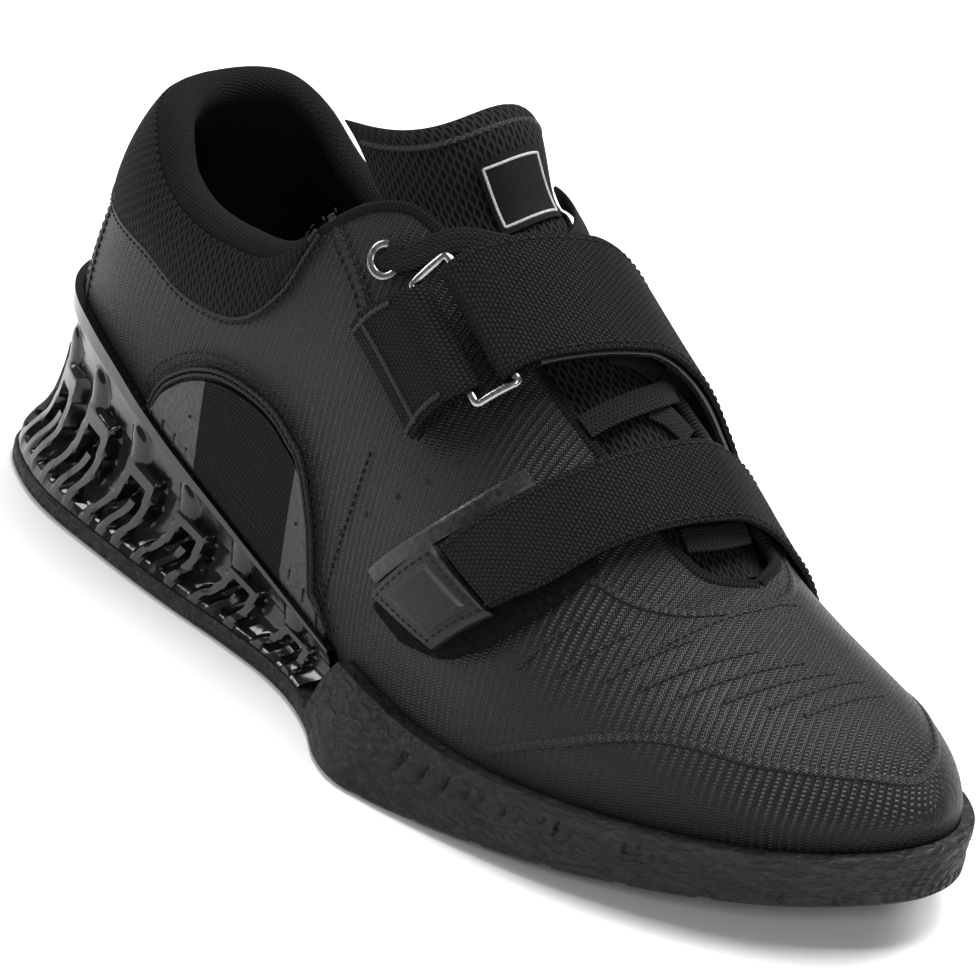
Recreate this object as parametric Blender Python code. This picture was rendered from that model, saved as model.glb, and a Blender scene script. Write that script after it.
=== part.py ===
"""Weightlifting shoe for the right foot: cup outsole, moulded heel block, insole, hollow padded upper,
tongue, lace, two webbing straps with a wire ring and a rubber pull tab.

Metres. +X points to the toe, +Y to the big-toe (medial) side, +Z up. The origin lies on the floor under the
middle of the sole. Every station of the shoe is a "turn" from 0 at the back of the heel to 1 at the toe tip;
its place along the length follows a cosine, so that sections crowd together where the outline is round.
A place on the upper is a turn and an "across": -2 at the lateral lower edge, -1 on the lateral widest line,
0 on the ridge, 1 and 2 the same on the medial side."""
import math

import bmesh
import bpy
import numpy as np

# Overall sizes
SHOE_LENGTH = 0.295
BALL_WIDTH = 0.106
COLLAR_HEIGHT = 0.1075
INSTEP_HEIGHT = 0.140
CLEARANCE = 0.0003

# Sole sizes
OUTSOLE_HEEL_THICKNESS = 0.0050
OUTSOLE_BED_THICKNESS = 0.0095
TOE_SPRING = 0.0125
TOE_SPRING_START = 0.60
HEEL_BED_HEIGHT = 0.033
CUP_RIM_HEIGHT = 0.0180
CUP_WALL_THICKNESS = 0.0032
EDGE_ROUND = 0.0012
STRIP_ROUND = 0.0008
BLOCK_END = 0.487
STEP_START = 0.490
STEP_END = 0.512
TREAD_START = 0.560
TREAD_PITCH = 0.056
TREAD_COUNT = 7
TREAD_GROOVE_WIDTH = 0.014
TREAD_DEPTH = 0.0012
INSOLE_THICKNESS = 0.004

# Heel block sizes; the frames are the upright ribs of its side
HEEL_BLOCK_HEIGHT = 0.056
HEEL_CUP_THICKNESS = 0.0022
BLOCK_INSET = 0.0012
FRAME_COUNT = 7
FRAME_CROWDING = 0.93
FRAME_HALF_WIDTH = 0.0086
FRAME_LEG = 0.0036
FRAME_NECK = 0.0030
FRAME_DEPTH = 0.0042
FRAME_FOOT = 0.07
FRAME_BAR = 0.50
FRAME_TOP = 0.62
FRAME_LIP = 0.90

# Upper sizes
TOE_MARGIN = 0.0035
HEEL_MARGIN = 0.0155
TUCK = 0.0025
WIDEST_RISE = 0.013
HEEL_LEAN = 0.0195
HEEL_LEAN_START = 0.050
UPPER_WALL = 0.0022
COLLAR_WALL = 0.0090
COLLAR_PUFF = 0.0004
LOW_ROWS, HIGH_ROWS, RIM_ROWS = 3, 6, 2
BASE_STATIONS = 29
WELD_DISTANCE = 2e-6

# Tongue sizes: places along the ridge as shares of the upper's length, spread in places across the upper
TONGUE_TOE = 0.765
TONGUE_TOP = 0.418
TONGUE_TOP_ARCH = (0.105, 0.022)
TONGUE_HALF_SPREAD = 0.42
TONGUE_THICKNESS = 0.0075
TONGUE_GAP = 0.0015
TONGUE_BULGE = -0.0006
TONGUE_TOP_RISE = 0.0065
TONGUE_SIDE_TUCK = 0.0085
LABEL_V = (0.765, 0.900)
LABEL_W = (-0.38, 0.16)
LABEL_THICKNESS = 0.0007

# Straps, ring, laces and trims
ACROSS_LENGTH = 0.096
STRAP_THICKNESS = 0.0018
HOLDER_THICKNESS = 0.0016
WIRE_RADIUS = 0.0011
STRAP_BAR = (-0.330, 0.0088)
HOLDER_BAR = (-0.430, 0.0066)
RING_REAR = (0.473, 0.482)
RING_FRONT = (0.570, 0.583)
HOLDER_START = -0.60
WELT_THICKNESS = 0.0012
LOOP_THICKNESS = 0.0009
TAB_CORNERS = ((0.545, -0.872), (0.594, -0.685), (0.673, -0.676), (0.634, -0.842))
TAB_UNDER = 0.0017
TAB_THICKNESS = 0.0026
TAB_EDGE_DROP = 0.0009
TAB_BLOCK_RISE = 0.0013
LACE_WIDTH = 0.0060
LACE_THICKNESS = 0.0012
EYELET_PLACE = (0.433, 0.469)
EYELET_RADIUS = 0.0047
EYELET_HOLE = 0.0028
EYELET_RISE = 0.0009
GORE_THICKNESS = 0.0009
GORE_CLEAR = 0.0020

MEDIAL, LATERAL = 1.0, -1.0

# Outline of the outsole on the floor: half widths on each side, as shares of BALL_WIDTH
SOLE_OUTLINE = (
    ("along", "lateral", "medial"),
    (0.000, 0.000, 0.000),
    (0.012, 0.160, 0.155),
    (0.031, 0.250, 0.240),
    (0.072, 0.325, 0.315),
    (0.129, 0.378, 0.352),
    (0.200, 0.400, 0.362),
    (0.305, 0.418, 0.350),
    (0.393, 0.421, 0.325),
    (0.445, 0.432, 0.314),
    (0.490, 0.462, 0.314),
    (0.525, 0.505, 0.325),
    (0.558, 0.562, 0.340),
    (0.588, 0.590, 0.358),
    (0.627, 0.582, 0.382),
    (0.670, 0.560, 0.404),
    (0.729, 0.522, 0.425),
    (0.790, 0.470, 0.432),
    (0.845, 0.400, 0.418),
    (0.895, 0.320, 0.378),
    (0.945, 0.205, 0.306),
    (0.980, 0.080, 0.216),
    (1.000, -0.070, 0.070),
)

# Upper: widest half widths as shares of BALL_WIDTH, ridge height as a share of INSTEP_HEIGHT, ridge offset
# towards the big toe as a share of BALL_WIDTH, and how full the arch of the section is (2 is an ellipse)
UPPER_SECTIONS = (
    ("along", "lateral", "medial", "ridge", "ridge_side", "fullness"),
    (0.000, 0.000, 0.000, 1.070, 0.000, 2.30),
    (0.012, 0.130, 0.130, 1.075, 0.000, 2.30),
    (0.045, 0.232, 0.230, 1.080, 0.000, 2.30),
    (0.100, 0.300, 0.290, 1.085, 0.000, 2.30),
    (0.180, 0.340, 0.318, 1.085, 0.000, 2.30),
    (0.260, 0.356, 0.322, 1.070, 0.005, 2.30),
    (0.340, 0.366, 0.318, 1.035, 0.015, 2.25),
    (0.400, 0.376, 0.316, 0.980, 0.025, 2.20),
    (0.453, 0.392, 0.318, 0.915, 0.035, 2.15),
    (0.500, 0.412, 0.326, 0.842, 0.045, 2.10),
    (0.548, 0.440, 0.336, 0.764, 0.055, 2.05),
    (0.600, 0.468, 0.350, 0.685, 0.062, 2.02),
    (0.650, 0.484, 0.362, 0.612, 0.068, 2.00),
    (0.705, 0.482, 0.370, 0.525, 0.072, 2.00),
    (0.752, 0.462, 0.360, 0.452, 0.071, 2.00),
    (0.800, 0.428, 0.350, 0.405, 0.072, 2.00),
    (0.850, 0.375, 0.334, 0.371, 0.073, 2.00),
    (0.900, 0.302, 0.312, 0.338, 0.076, 2.00),
    (0.945, 0.210, 0.276, 0.300, 0.080, 2.00),
    (0.980, 0.090, 0.212, 0.252, 0.085, 2.00),
    (1.000, -0.088, 0.088, 0.200, 0.088, 2.00),
)

# Top edge of the upper as a share of COLLAR_HEIGHT round the ankle. Past the last row it is the throat's edge.
COLLAR_EDGE = (
    ("along", "lateral", "medial"),
    (0.000, 1.000, 1.000),
    (0.045, 0.995, 0.990),
    (0.100, 0.958, 0.918),
    (0.160, 0.902, 0.822),
    (0.220, 0.868, 0.762),
    (0.270, 0.865, 0.750),
    (0.330, 0.903, 0.800),
    (0.362, 0.985, 0.860),
    (0.397, 1.068, 0.935),
    (0.430, 1.094, 1.000),
    (0.462, 1.068, 1.025),
)

# Throat: distance of its edges from the ridge, as shares of BALL_WIDTH
THROAT_EDGE = (
    ("along", "lateral", "medial"),
    (0.462, 0.215, 0.175),
    (0.520, 0.212, 0.145),
    (0.600, 0.205, 0.100),
    (0.680, 0.180, 0.095),
    (0.735, 0.140, 0.115),
    (0.765, 0.080, 0.085),
    (0.778, 0.000, 0.000),
)

# Top edge of the heel block as shares of HEEL_BLOCK_HEIGHT
BLOCK_EDGE = (
    ("along", "lateral", "medial"),
    (0.000, 0.950, 0.950),
    (0.060, 0.960, 0.960),
    (0.100, 0.935, 0.935),
    (0.150, 0.860, 0.860),
    (0.200, 0.755, 0.755),
    (0.250, 0.655, 0.655),
    (0.310, 0.550, 0.550),
    (0.370, 0.450, 0.450),
    (0.430, 0.365, 0.365),
    (0.490, 0.300, 0.300),
)

# Side of the heel block: heights as shares of its own, how far in each lies from its foot to its crown, and how deep
# the ground between the frames is sunk there as a share of FRAME_DEPTH
BLOCK_PROFILE = (
    ("height", "plan", "sunk"),
    (0.00, 0.00, 0.0),
    (0.07, 0.06, 0.5),
    (0.28, 0.62, 1.0),
    (0.50, 0.90, 0.9),
    (0.90, 1.00, 0.3),
    (1.00, 1.00, 0.0),
)

# Straps and trims: shares of the upper's length of their rear and front edges, at places across it
UPPER_STRAP_EDGES = (
    ("across", "rear", "front"),
    (-0.360, 0.4885, 0.5750),
    (-0.323, 0.489, 0.577),
    (-0.170, 0.506, 0.595),
    (0.000, 0.527, 0.614),
    (0.250, 0.548, 0.636),
    (0.550, 0.566, 0.655),
    (0.850, 0.578, 0.668),
    (1.300, 0.584, 0.676),
)
LOWER_STRAP_EDGES = (
    ("across", "rear", "front"),
    (-0.680, 0.601, 0.668),
    (-0.530, 0.625, 0.694),
    (-0.380, 0.645, 0.706),
    (-0.190, 0.662, 0.719),
    (0.000, 0.674, 0.732),
    (0.300, 0.688, 0.747),
    (0.650, 0.696, 0.757),
    (1.000, 0.698, 0.760),
    (1.300, 0.698, 0.760),
)
HOLDER_EDGES = (
    ("across", "rear", "front"),
    (-0.620, 0.428, 0.530),
    (-0.540, 0.447, 0.540),
    (-0.410, 0.480, 0.562),
    (-0.380, 0.485, 0.565),
)
WELT_EDGES = (
    ("across", "rear", "front"),
    (-0.860, 0.525, 0.540),
    (-0.670, 0.580, 0.595),
    (-0.490, 0.614, 0.629),
    (-0.410, 0.624, 0.639),
)
LOOP_EDGES = (
    ("across", "rear", "front"),
    (-0.900, 0.542, 0.590),
    (-0.860, 0.549, 0.636),
    (-0.800, 0.566, 0.664),
    (-0.670, 0.604, 0.692),
    (-0.500, 0.637, 0.710),
    (-0.380, 0.652, 0.712),
)

# Paths of the bands: places across the upper, and how high the band's middle lies over it
UPPER_STRAP_LOWER = (
    (1.280, -0.0052),
    (1.000, -0.0052),
    (0.700, -0.0051),
    (0.400, -0.0047),
    (0.150, -0.0024),
    (0.000, -0.0004),
    (-0.220, 0.0),
)
UPPER_STRAP_UPPER = ((-0.200, -0.0006), (0.000, -0.0020), (0.150, -0.0044), (0.400, -0.0070), (0.700, -0.0075), (0.800, -0.0076))
LOWER_STRAP_PATH = (
    (1.280, 0.0016),
    (1.000, 0.0016),
    (0.700, 0.0016),
    (0.400, 0.0018),
    (0.200, 0.0034),
    (0.050, 0.0050),
    (-0.250, 0.0050),
    (-0.450, 0.0038),
    (-0.667, 0.0036),
)
WELT_PATH = ((-0.860, 0.0011), (-0.410, 0.0011))
LOOP_PATH = ((-0.900, 0.0011), (-0.380, 0.0011))

# Runs of the lace: shares of the length, places across, and heights of the middle of the lace above the upper
LACE_RUNS = (
    (
        "lace_top",
        (
            (0.434, -0.450, 0.0023),
            (0.452, -0.420, 0.0018),
            (0.475, -0.290, 0.0008),
            (0.508, -0.150, 0.0007),
            (0.522, 0.000, 0.0007),
            (0.508, 0.150, 0.0007),
            (0.475, 0.290, 0.0008),
            (0.444, 0.385, 0.0011),
        ),
    ),
    ("lace_bar_rear", ((0.572, -0.235, 0.0004), (0.574, 0.000, 0.0007), (0.572, 0.130, 0.0004))),
    ("lace_bar_middle", ((0.632, -0.230, 0.0008), (0.637, -0.030, 0.0019), (0.634, 0.110, 0.0010))),
    ("lace_bar_front", ((0.684, -0.185, 0.0004), (0.686, 0.000, 0.0007), (0.684, 0.110, 0.0004))),
    ("lace_bar_end", ((0.729, -0.138, 0.0004), (0.737, -0.020, 0.0007), (0.737, 0.110, 0.0004))),
    ("lace_cross_rear", ((0.596, -0.060, 0.0003), (0.604, -0.005, 0.0003), (0.620, 0.085, 0.0002))),
    ("lace_cross_front", ((0.642, -0.035, 0.0003), (0.655, 0.015, 0.0003), (0.668, 0.060, 0.0002))),
)

# Gore: how far out its arched edge lies on the upper
GORE_EDGE = (
    ("along", "across"),
    (0.200, 1.020),
    (0.215, 0.985),
    (0.235, 0.955),
    (0.270, 0.915),
    (0.325, 0.878),
    (0.381, 0.868),
    (0.420, 0.900),
    (0.445, 1.000),
    (0.466, 1.230),
    (0.474, 1.420),
)


def turn_of(along):
    """The station turn at a share of the length."""
    return np.arccos(1.0 - 2.0 * np.clip(along, 0.0, 1.0)) / math.pi


def along_of(turn):
    """The share of the length at a station turn."""
    return 0.5 * (1.0 - np.cos(math.pi * np.asarray(turn, float)))


def smooth(xs, ys, x):
    """Cubic through the points (xs, ys), with slopes from their neighbours."""
    xs, ys = np.asarray(xs, float), np.asarray(ys, float)
    slope = np.gradient(ys, xs)
    x = np.asarray(x, float)
    i = np.clip(np.searchsorted(xs, x, side="right") - 1, 0, len(xs) - 2)
    h = xs[i + 1] - xs[i]
    t = np.clip((x - xs[i]) / h, 0.0, 1.0)
    return (
        (2 * t**3 - 3 * t**2 + 1) * ys[i]
        + (t**3 - 2 * t**2 + t) * h * slope[i]
        + (3 * t**2 - 2 * t**3) * ys[i + 1]
        + (t**3 - t**2) * h * slope[i + 1]
    )


def read(table, name, turn):
    """A named column of a table at a station turn."""
    rows = np.array(table[1:], float)
    return smooth(turn_of(rows[:, 0]), rows[:, table[0].index(name)], turn)


def side_name(side):
    return "medial" if side > 0 else "lateral"


def step(low, high, x):
    t = np.clip((np.asarray(x, float) - low) / (high - low), 0.0, 1.0)
    return t * t * (3 - 2 * t)


def toe_lift(turn):
    """Toe spring of the sole's underside."""
    t = np.clip((along_of(turn) - TOE_SPRING_START) / (1.0 - TOE_SPRING_START), 0.0, 1.0)
    return TOE_SPRING * t**1.4


def sole_edge(side, turn):
    """Plan point of the outsole's outline."""
    x = SHOE_LENGTH * (along_of(turn) - 0.5)
    return x, side * BALL_WIDTH * read(SOLE_OUTLINE, side_name(side), turn)


def bed_height(turn):
    """Height of the surface that the insole and the upper's lower edge stand on."""
    drop = step(0.12, 0.56, along_of(turn))
    return HEEL_BED_HEIGHT + (OUTSOLE_BED_THICKNESS - HEEL_BED_HEIGHT) * drop + 0.8 * toe_lift(turn)


def section(side, turn):
    """Sizes of the upper's section: widest half width, ridge height, ridge side, fullness, widest height."""
    width = side * BALL_WIDTH * read(UPPER_SECTIONS, side_name(side), turn)
    ridge = INSTEP_HEIGHT * read(UPPER_SECTIONS, "ridge", turn)
    ridge_side = BALL_WIDTH * read(UPPER_SECTIONS, "ridge_side", turn)
    fullness = read(UPPER_SECTIONS, "fullness", turn)
    widest = bed_height(turn) + WIDEST_RISE * (1 - 0.45 * step(0.9, 1.0, along_of(turn)))
    return width, ridge, ridge_side, fullness, widest


def heel_lean(z, turn):
    """How far the back of the heel leans towards the toe at a height."""
    high = np.clip((np.asarray(z, float) - HEEL_LEAN_START) / (COLLAR_HEIGHT - HEEL_LEAN_START), 0.0, 2.0)
    return HEEL_LEAN * high**1.4 * (1.0 - step(0.0, 0.26, along_of(turn)))


def upper_point(side, turn, up):
    """Outer surface of the upper. up runs from -1 at the lower edge over 0 at the widest line to 1 at the ridge."""
    turn, up = np.broadcast_arrays(np.asarray(turn, float), np.asarray(up, float))
    width, ridge, ridge_side, fullness, widest = section(side, turn)
    angle = np.clip(up, 0.0, 1.0) * math.pi / 2
    power = 2.0 / fullness
    y = ridge_side + (width - ridge_side) * np.cos(angle) ** power
    z = widest + (ridge - widest) * np.sin(angle) ** power
    low = np.clip(-up, 0.0, 1.0)
    z = z - low * (widest - bed_height(turn))
    y = y - side * TUCK * low**2 * np.clip(np.abs(width - ridge_side) / (0.15 * BALL_WIDTH), 0.0, 1.0)
    length = SHOE_LENGTH - HEEL_MARGIN - TOE_MARGIN
    along = along_of(turn)
    x = HEEL_MARGIN - SHOE_LENGTH / 2 + length * along
    x = x + heel_lean(z, turn) + TUCK * low**2 * (step(0.1, 0.0, along) - step(0.9, 1.0, along))
    return np.stack([x, y, z], -1)


def top_edge(side, turn):
    """How far up the arch the upper is cut, from the collar's height or the throat's distance to the ridge."""
    turn = np.asarray(turn, float)
    width, ridge, ridge_side, fullness, widest = section(side, turn)
    height = COLLAR_HEIGHT * read(COLLAR_EDGE, side_name(side), turn)
    share = np.clip((height - widest) / (ridge - widest), 0.0, 1.0)
    collar = np.arcsin(np.clip(share ** (fullness / 2), 0, 1)) * 2 / math.pi
    apart = BALL_WIDTH * read(THROAT_EDGE, side_name(side), turn)
    reach = np.clip(apart / np.abs(width - ridge_side).clip(1e-6), 0.0, 1.0)
    throat = np.arccos(np.clip(reach ** (fullness / 2), 0, 1)) * 2 / math.pi
    return np.where(along_of(turn) < COLLAR_EDGE[-1][0], collar, throat)


def upper_normal(side, turn, up):
    """Outward normal of the upper's outer surface."""
    turn, up = np.broadcast_arrays(np.asarray(turn, float), np.asarray(up, float))
    small = 1e-3
    along = upper_point(side, np.minimum(turn + small, 1.0), up) - upper_point(side, np.maximum(turn - small, 0.0), up)
    high = upper_point(side, turn, np.minimum(up + small, 1.0)) - upper_point(side, turn, up - small)
    normal = -side * np.cross(along, high)
    flat = (turn <= 0.0) | (turn >= 1.0) | (up >= 1.0)
    normal[..., 1] = np.where(flat, 0.0, normal[..., 1])
    return normal / np.linalg.norm(normal, axis=-1, keepdims=True)


def on_upper(turn, across, out=0.0):
    """A place on the upper, or a distance out from it."""
    turn, across, out = np.broadcast_arrays(*(np.asarray(v, float) for v in (turn, across, out)))
    points = np.zeros(turn.shape + (3,))
    for side in (LATERAL, MEDIAL):
        mine = (across < 0) if side < 0 else (across >= 0)
        up = 1.0 - np.abs(across)
        place = upper_point(side, turn, up) + out[..., None] * upper_normal(side, turn, up)
        points = np.where(mine[..., None], place, points)
    return points


def across_at(side, turn, z):
    """The place across the upper where its outer surface passes a height."""
    width, ridge, ridge_side, fullness, widest = section(side, turn)
    low = np.clip((widest - z) / (widest - bed_height(turn)), 0.0, 1.0)
    share = np.clip((z - widest) / (ridge - widest), 0.0, 1.0)
    up = np.arcsin(share ** (fullness / 2)) * 2 / math.pi
    return side * (1.0 + low - up)


def make_material(name, colour, roughness, metallic=0.0):
    material = bpy.data.materials.new(name)
    material.use_nodes = True
    shader = material.node_tree.nodes["Principled BSDF"]
    shader.inputs["Base Color"].default_value = (*colour, 1.0)
    shader.inputs["Roughness"].default_value = roughness
    shader.inputs["Metallic"].default_value = metallic
    material.diffuse_color = (*colour, 1.0)
    return material


def make_solid(name, points, faces, material):
    """One closed object from points and faces: equal points are welded and the faces turned outwards."""
    mesh = bpy.data.meshes.new(name)
    mesh.from_pydata([tuple(p) for p in np.asarray(points, float)], [], [tuple(f) for f in faces])
    shape = bmesh.new()
    shape.from_mesh(mesh)
    bmesh.ops.remove_doubles(shape, verts=shape.verts, dist=WELD_DISTANCE)
    bmesh.ops.dissolve_degenerate(shape, edges=shape.edges, dist=WELD_DISTANCE)
    bmesh.ops.recalc_face_normals(shape, faces=shape.faces)
    shape.to_mesh(mesh)
    shape.free()
    mesh.shade_smooth()
    mesh.set_sharp_from_angle(angle=math.radians(40))
    mesh.materials.append(material)
    thing = bpy.data.objects.new(name, mesh)
    bpy.context.scene.collection.objects.link(thing)
    return thing


def sheet_solid(name, outer, inner, material):
    """A closed sheet from the grids of its two faces."""
    rows, columns = outer.shape[:2]
    count = rows * columns
    index = np.arange(count).reshape(rows, columns)
    faces = []
    for i in range(rows - 1):
        for j in range(columns - 1):
            a, b, c, d = index[i, j], index[i + 1, j], index[i + 1, j + 1], index[i, j + 1]
            faces.append((a, b, c, d))
            faces.append((count + d, count + c, count + b, count + a))
    border = [*index[:, 0], *index[-1, 1:], *index[-2::-1, -1], *index[0, -2:0:-1]]
    for a, b in zip(border, border[1:] + border[:1]):
        faces.append((b, a, count + a, count + b))
    return make_solid(name, np.concatenate([outer.reshape(-1, 3), inner.reshape(-1, 3)]), faces, material)


def tube_solid(name, path, radius, material, sides=8):
    """A round wire along a closed path."""
    path = np.asarray(path)
    ahead = np.roll(path, -1, axis=0) - np.roll(path, 1, axis=0)
    ahead /= np.linalg.norm(ahead, axis=1, keepdims=True)
    middle = path.mean(axis=0)
    outward = path - middle
    outward -= (outward * ahead).sum(axis=1, keepdims=True) * ahead
    outward /= np.linalg.norm(outward, axis=1, keepdims=True)
    other = np.cross(ahead, outward)
    angle = np.arange(sides) * 2 * math.pi / sides
    ring = np.cos(angle)[:, None, None] * outward + np.sin(angle)[:, None, None] * other
    points = (path[None] + radius * ring).transpose(1, 0, 2)
    count = len(path)
    faces = []
    for i in range(count):
        for j in range(sides):
            k, m = (i + 1) % count, (j + 1) % sides
            faces.append((i * sides + j, k * sides + j, k * sides + m, i * sides + m))
    return make_solid(name, points.reshape(-1, 3), faces, material)


def stations(extra, base):
    """Station turns from heel to toe: an even set, and the given shares of the length in place of near ones."""
    fixed = sorted({0.0, 1.0, *(float(turn_of(a)) for a in extra)})
    apart = 0.45 / base
    even = [t for t in np.linspace(0, 1, base + 1) if min(abs(t - f) for f in fixed) > apart]
    return np.array(sorted(fixed + even))


def loop_of(turns):
    """Sides and turns once round the shoe: forward on the lateral side and back on the medial."""
    sides = [LATERAL] * len(turns) + [MEDIAL] * (len(turns) - 2)
    return sides, [*turns, *turns[-2:0:-1]]


def ring_loft(name, rows, turns, material):
    """A closed form from rows of points round the shoe, with its first and last rows filled across."""
    rows = np.asarray(rows)
    count, around = rows.shape[:2]
    faces = []
    for k in range(count - 1):
        for i in range(around):
            j = (i + 1) % around
            faces.append((k * around + i, k * around + j, (k + 1) * around + j, (k + 1) * around + i))
    last = len(turns) - 1
    for k in (0, count - 1):
        for i in range(last):
            a, b = k * around + i, k * around + i + 1
            c, d = k * around + (around - i - 1) % around, k * around + (around - i) % around
            faces.append((a, b, c, d) if b != c and a != d else ((a, b, d) if b == c else (a, b, c)))
    return make_solid(name, rows.reshape(-1, 3), faces, material)


def cup_rim(turn):
    """Height of the outsole's rim round the forefoot."""
    return CUP_RIM_HEIGHT + 0.55 * toe_lift(turn)


def make_outsole(material):
    """Rubber cup: a flat strip under the heel block, a step at the waist, and a walled bed round the forefoot.
    Flex grooves cross its underside."""
    grooves = [TREAD_START + k * TREAD_PITCH for k in range(TREAD_COUNT)]
    half = TREAD_GROOVE_WIDTH / 2
    extra = [BLOCK_END, STEP_START, STEP_END]
    for groove in grooves:
        extra += [groove - half, groove, groove + half]
    turns = stations(extra, BASE_STATIONS)
    sides, around = loop_of(turns)
    rows = [[] for _ in range(7)]
    for side, turn in zip(sides, around):
        along = float(along_of(turn))
        x, y = sole_edge(side, turn)
        lift = float(toe_lift(turn))
        cut = TREAD_DEPTH if any(abs(along - g) < half / 2 for g in grooves) else 0.0
        edge = np.array([x, y, lift])
        inward = inward_of(side, turn)
        fore = along >= STEP_END - 1e-6
        rows[0].append(edge + inward * EDGE_ROUND + [0, 0, cut])
        rows[1].append(edge + [0, 0, max(EDGE_ROUND, cut)])
        if fore:
            low, rim = across_at(side, turn, float(bed_height(turn))), across_at(side, turn, float(cup_rim(turn)))
            outer = on_upper(turn, rim, CUP_WALL_THICKNESS + CLEARANCE)
            inner = on_upper(turn, rim, CLEARANCE)
            inner[2] = outer[2] = float(cup_rim(turn))
            rows[2].append(edge + (outer - edge) * [0.22, 0.22, 0.5])
            rows[3].append(outer)
            rows[4].append(inner)
            rows[5].append(on_upper(turn, (low + rim) / 2, 2.6 * CLEARANCE))
            bottom = on_upper(turn, low, 2.2 * CLEARANCE)
            bottom[2] = float(bed_height(turn)) - CLEARANCE
            rows[6].append(bottom)
        else:
            top = [0, 0, OUTSOLE_HEEL_THICKNESS - lift]
            rows[2].append(edge + [0, 0, (EDGE_ROUND + OUTSOLE_HEEL_THICKNESS) / 2])
            rows[3].append(edge + inward * STRIP_ROUND + top)
            for k, inset in ((4, 3.0), (5, 5.0), (6, 7.0)):
                rows[k].append(edge + inward * STRIP_ROUND * inset + top)
    return ring_loft("outsole", rows, turns, material)


def inward_of(side, turn):
    """Unit plan direction from the outsole's outline to its inside."""
    small = 2e-3
    before = np.array(sole_edge(side, max(turn - small, 0.0)))
    after = np.array(sole_edge(side, min(turn + small, 1.0)))
    ahead = after - before
    inward = np.array([ahead[1], -ahead[0]]) * side
    if turn <= 0.0 or turn >= 1.0:
        inward = np.array([1.0 if turn <= 0.0 else -1.0, 0.0])
    return np.array([*(inward / np.linalg.norm(inward)), 0.0])


def block_top(side, turn):
    """Height of the heel block's top edge."""
    return HEEL_BLOCK_HEIGHT * float(read(BLOCK_EDGE, side_name(side), turn))


def frame_places():
    """Arc length from the block's front end to its back along the lateral outline, and the places of its frames."""
    turns = np.linspace(float(turn_of(BLOCK_END)), 0.0, 600)
    x, y = sole_edge(LATERAL, turns)
    arc = np.concatenate([[0.0], np.cumsum(np.hypot(np.diff(x), np.diff(y)))])
    share = (np.arange(FRAME_COUNT + 1) + 0.5) / (FRAME_COUNT + 0.5)
    return turns, arc, arc[-1] * share**FRAME_CROWDING


def frame_relief(apart, high):
    """How far the heel block stands out, from 0 to 1, at a distance from a frame's middle and a share of its height."""
    half = FRAME_HALF_WIDTH * (1.0 - 0.28 * high / FRAME_TOP)
    leg = half - FRAME_LEG
    apart = abs(apart)
    if high >= FRAME_LIP:
        return 1.0
    if high <= FRAME_FOOT:
        return 0.55
    if high > FRAME_TOP:
        return 0.85 if apart < FRAME_NECK else 0.25
    if apart > half:
        return 0.0
    if apart > leg or high > FRAME_BAR:
        return 1.0
    return 0.75 if apart < FRAME_NECK * 0.6 and high < FRAME_BAR * 0.7 else 0.0


def make_heel_block(material):
    """Moulded heel block: a cup round the heel that narrows to a tip at the waist, with upright frames standing
    out of its flared side. Its bed carries the insole and the upper's lower edge."""
    fine, arc, centres = frame_places()
    places = [0.0]
    offsets = np.array([-1.0, -0.94, -0.58, -0.52, 0.0, 0.52, 0.58, 0.94, 1.0]) * FRAME_HALF_WIDTH
    for centre in centres:
        places += [p for p in centre + offsets if p > places[-1] + 0.0004 and p < arc[-1]]
    lateral = [float(np.interp(p, arc, fine)) for p in places] + [0.0]
    sides = [LATERAL] * len(lateral) + [MEDIAL] * (len(lateral) - 1)
    turns = lateral + lateral[-2::-1]
    spots = places + [arc[-1]]
    spots = spots + spots[-2::-1]
    profile = np.array(BLOCK_PROFILE[1:], float)
    shares = profile[:, 0]
    rows = [[] for _ in range(len(shares) + 3)]
    for side, turn, spot in zip(sides, turns, spots):
        x, y = sole_edge(side, turn)
        inward = inward_of(side, turn)
        foot = np.array([x, y, OUTSOLE_HEEL_THICKNESS + CLEARANCE]) + inward * BLOCK_INSET
        top = max(block_top(side, turn), float(bed_height(turn)) + 0.001)
        rim = float(across_at(side, turn, top))
        crown = on_upper(turn, rim, CLEARANCE + HEEL_CUP_THICKNESS)
        crown[2] = top
        apart = min(abs(spot - centre) for centre in centres)
        for k, share in enumerate(shares):
            plan = profile[k, 1]
            place = foot + (crown - foot) * [plan, plan, share]
            depth = FRAME_DEPTH * profile[k, 2] * (1.0 - frame_relief(apart, share))
            rows[k].append(place + inward * depth * min(1.0, (top - foot[2]) / 0.025))
        for k, across in enumerate((rim, rim + side * 0.35 * (2 - abs(rim)), side * 2.0)):
            place = on_upper(turn, across, CLEARANCE + (0.0005 if k == 1 else 0.0001))
            if k == 0:
                place[2] = top
            if k == 2:
                place[2] = float(bed_height(turn)) - CLEARANCE
            rows[len(shares) + k].append(place)
    ring = np.array(rows)
    count, around = ring.shape[:2]
    faces = []
    for k in range(count - 1):
        for i in range(around - 1):
            faces.append((k * around + i, k * around + i + 1, (k + 1) * around + i + 1, (k + 1) * around + i))
    half = around // 2
    for k in (0, count - 1):
        for i in range(half):
            a, b = k * around + i, k * around + i + 1
            c, d = k * around + around - 2 - i, k * around + around - 1 - i
            faces.append((a, b, c, d) if b != c else (a, b, d))
    front = [k * around for k in range(count)] + [k * around + around - 1 for k in range(count - 1, -1, -1)]
    faces.append(tuple(front))
    return make_solid("heel_block", ring.reshape(-1, 3), faces, material)


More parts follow.
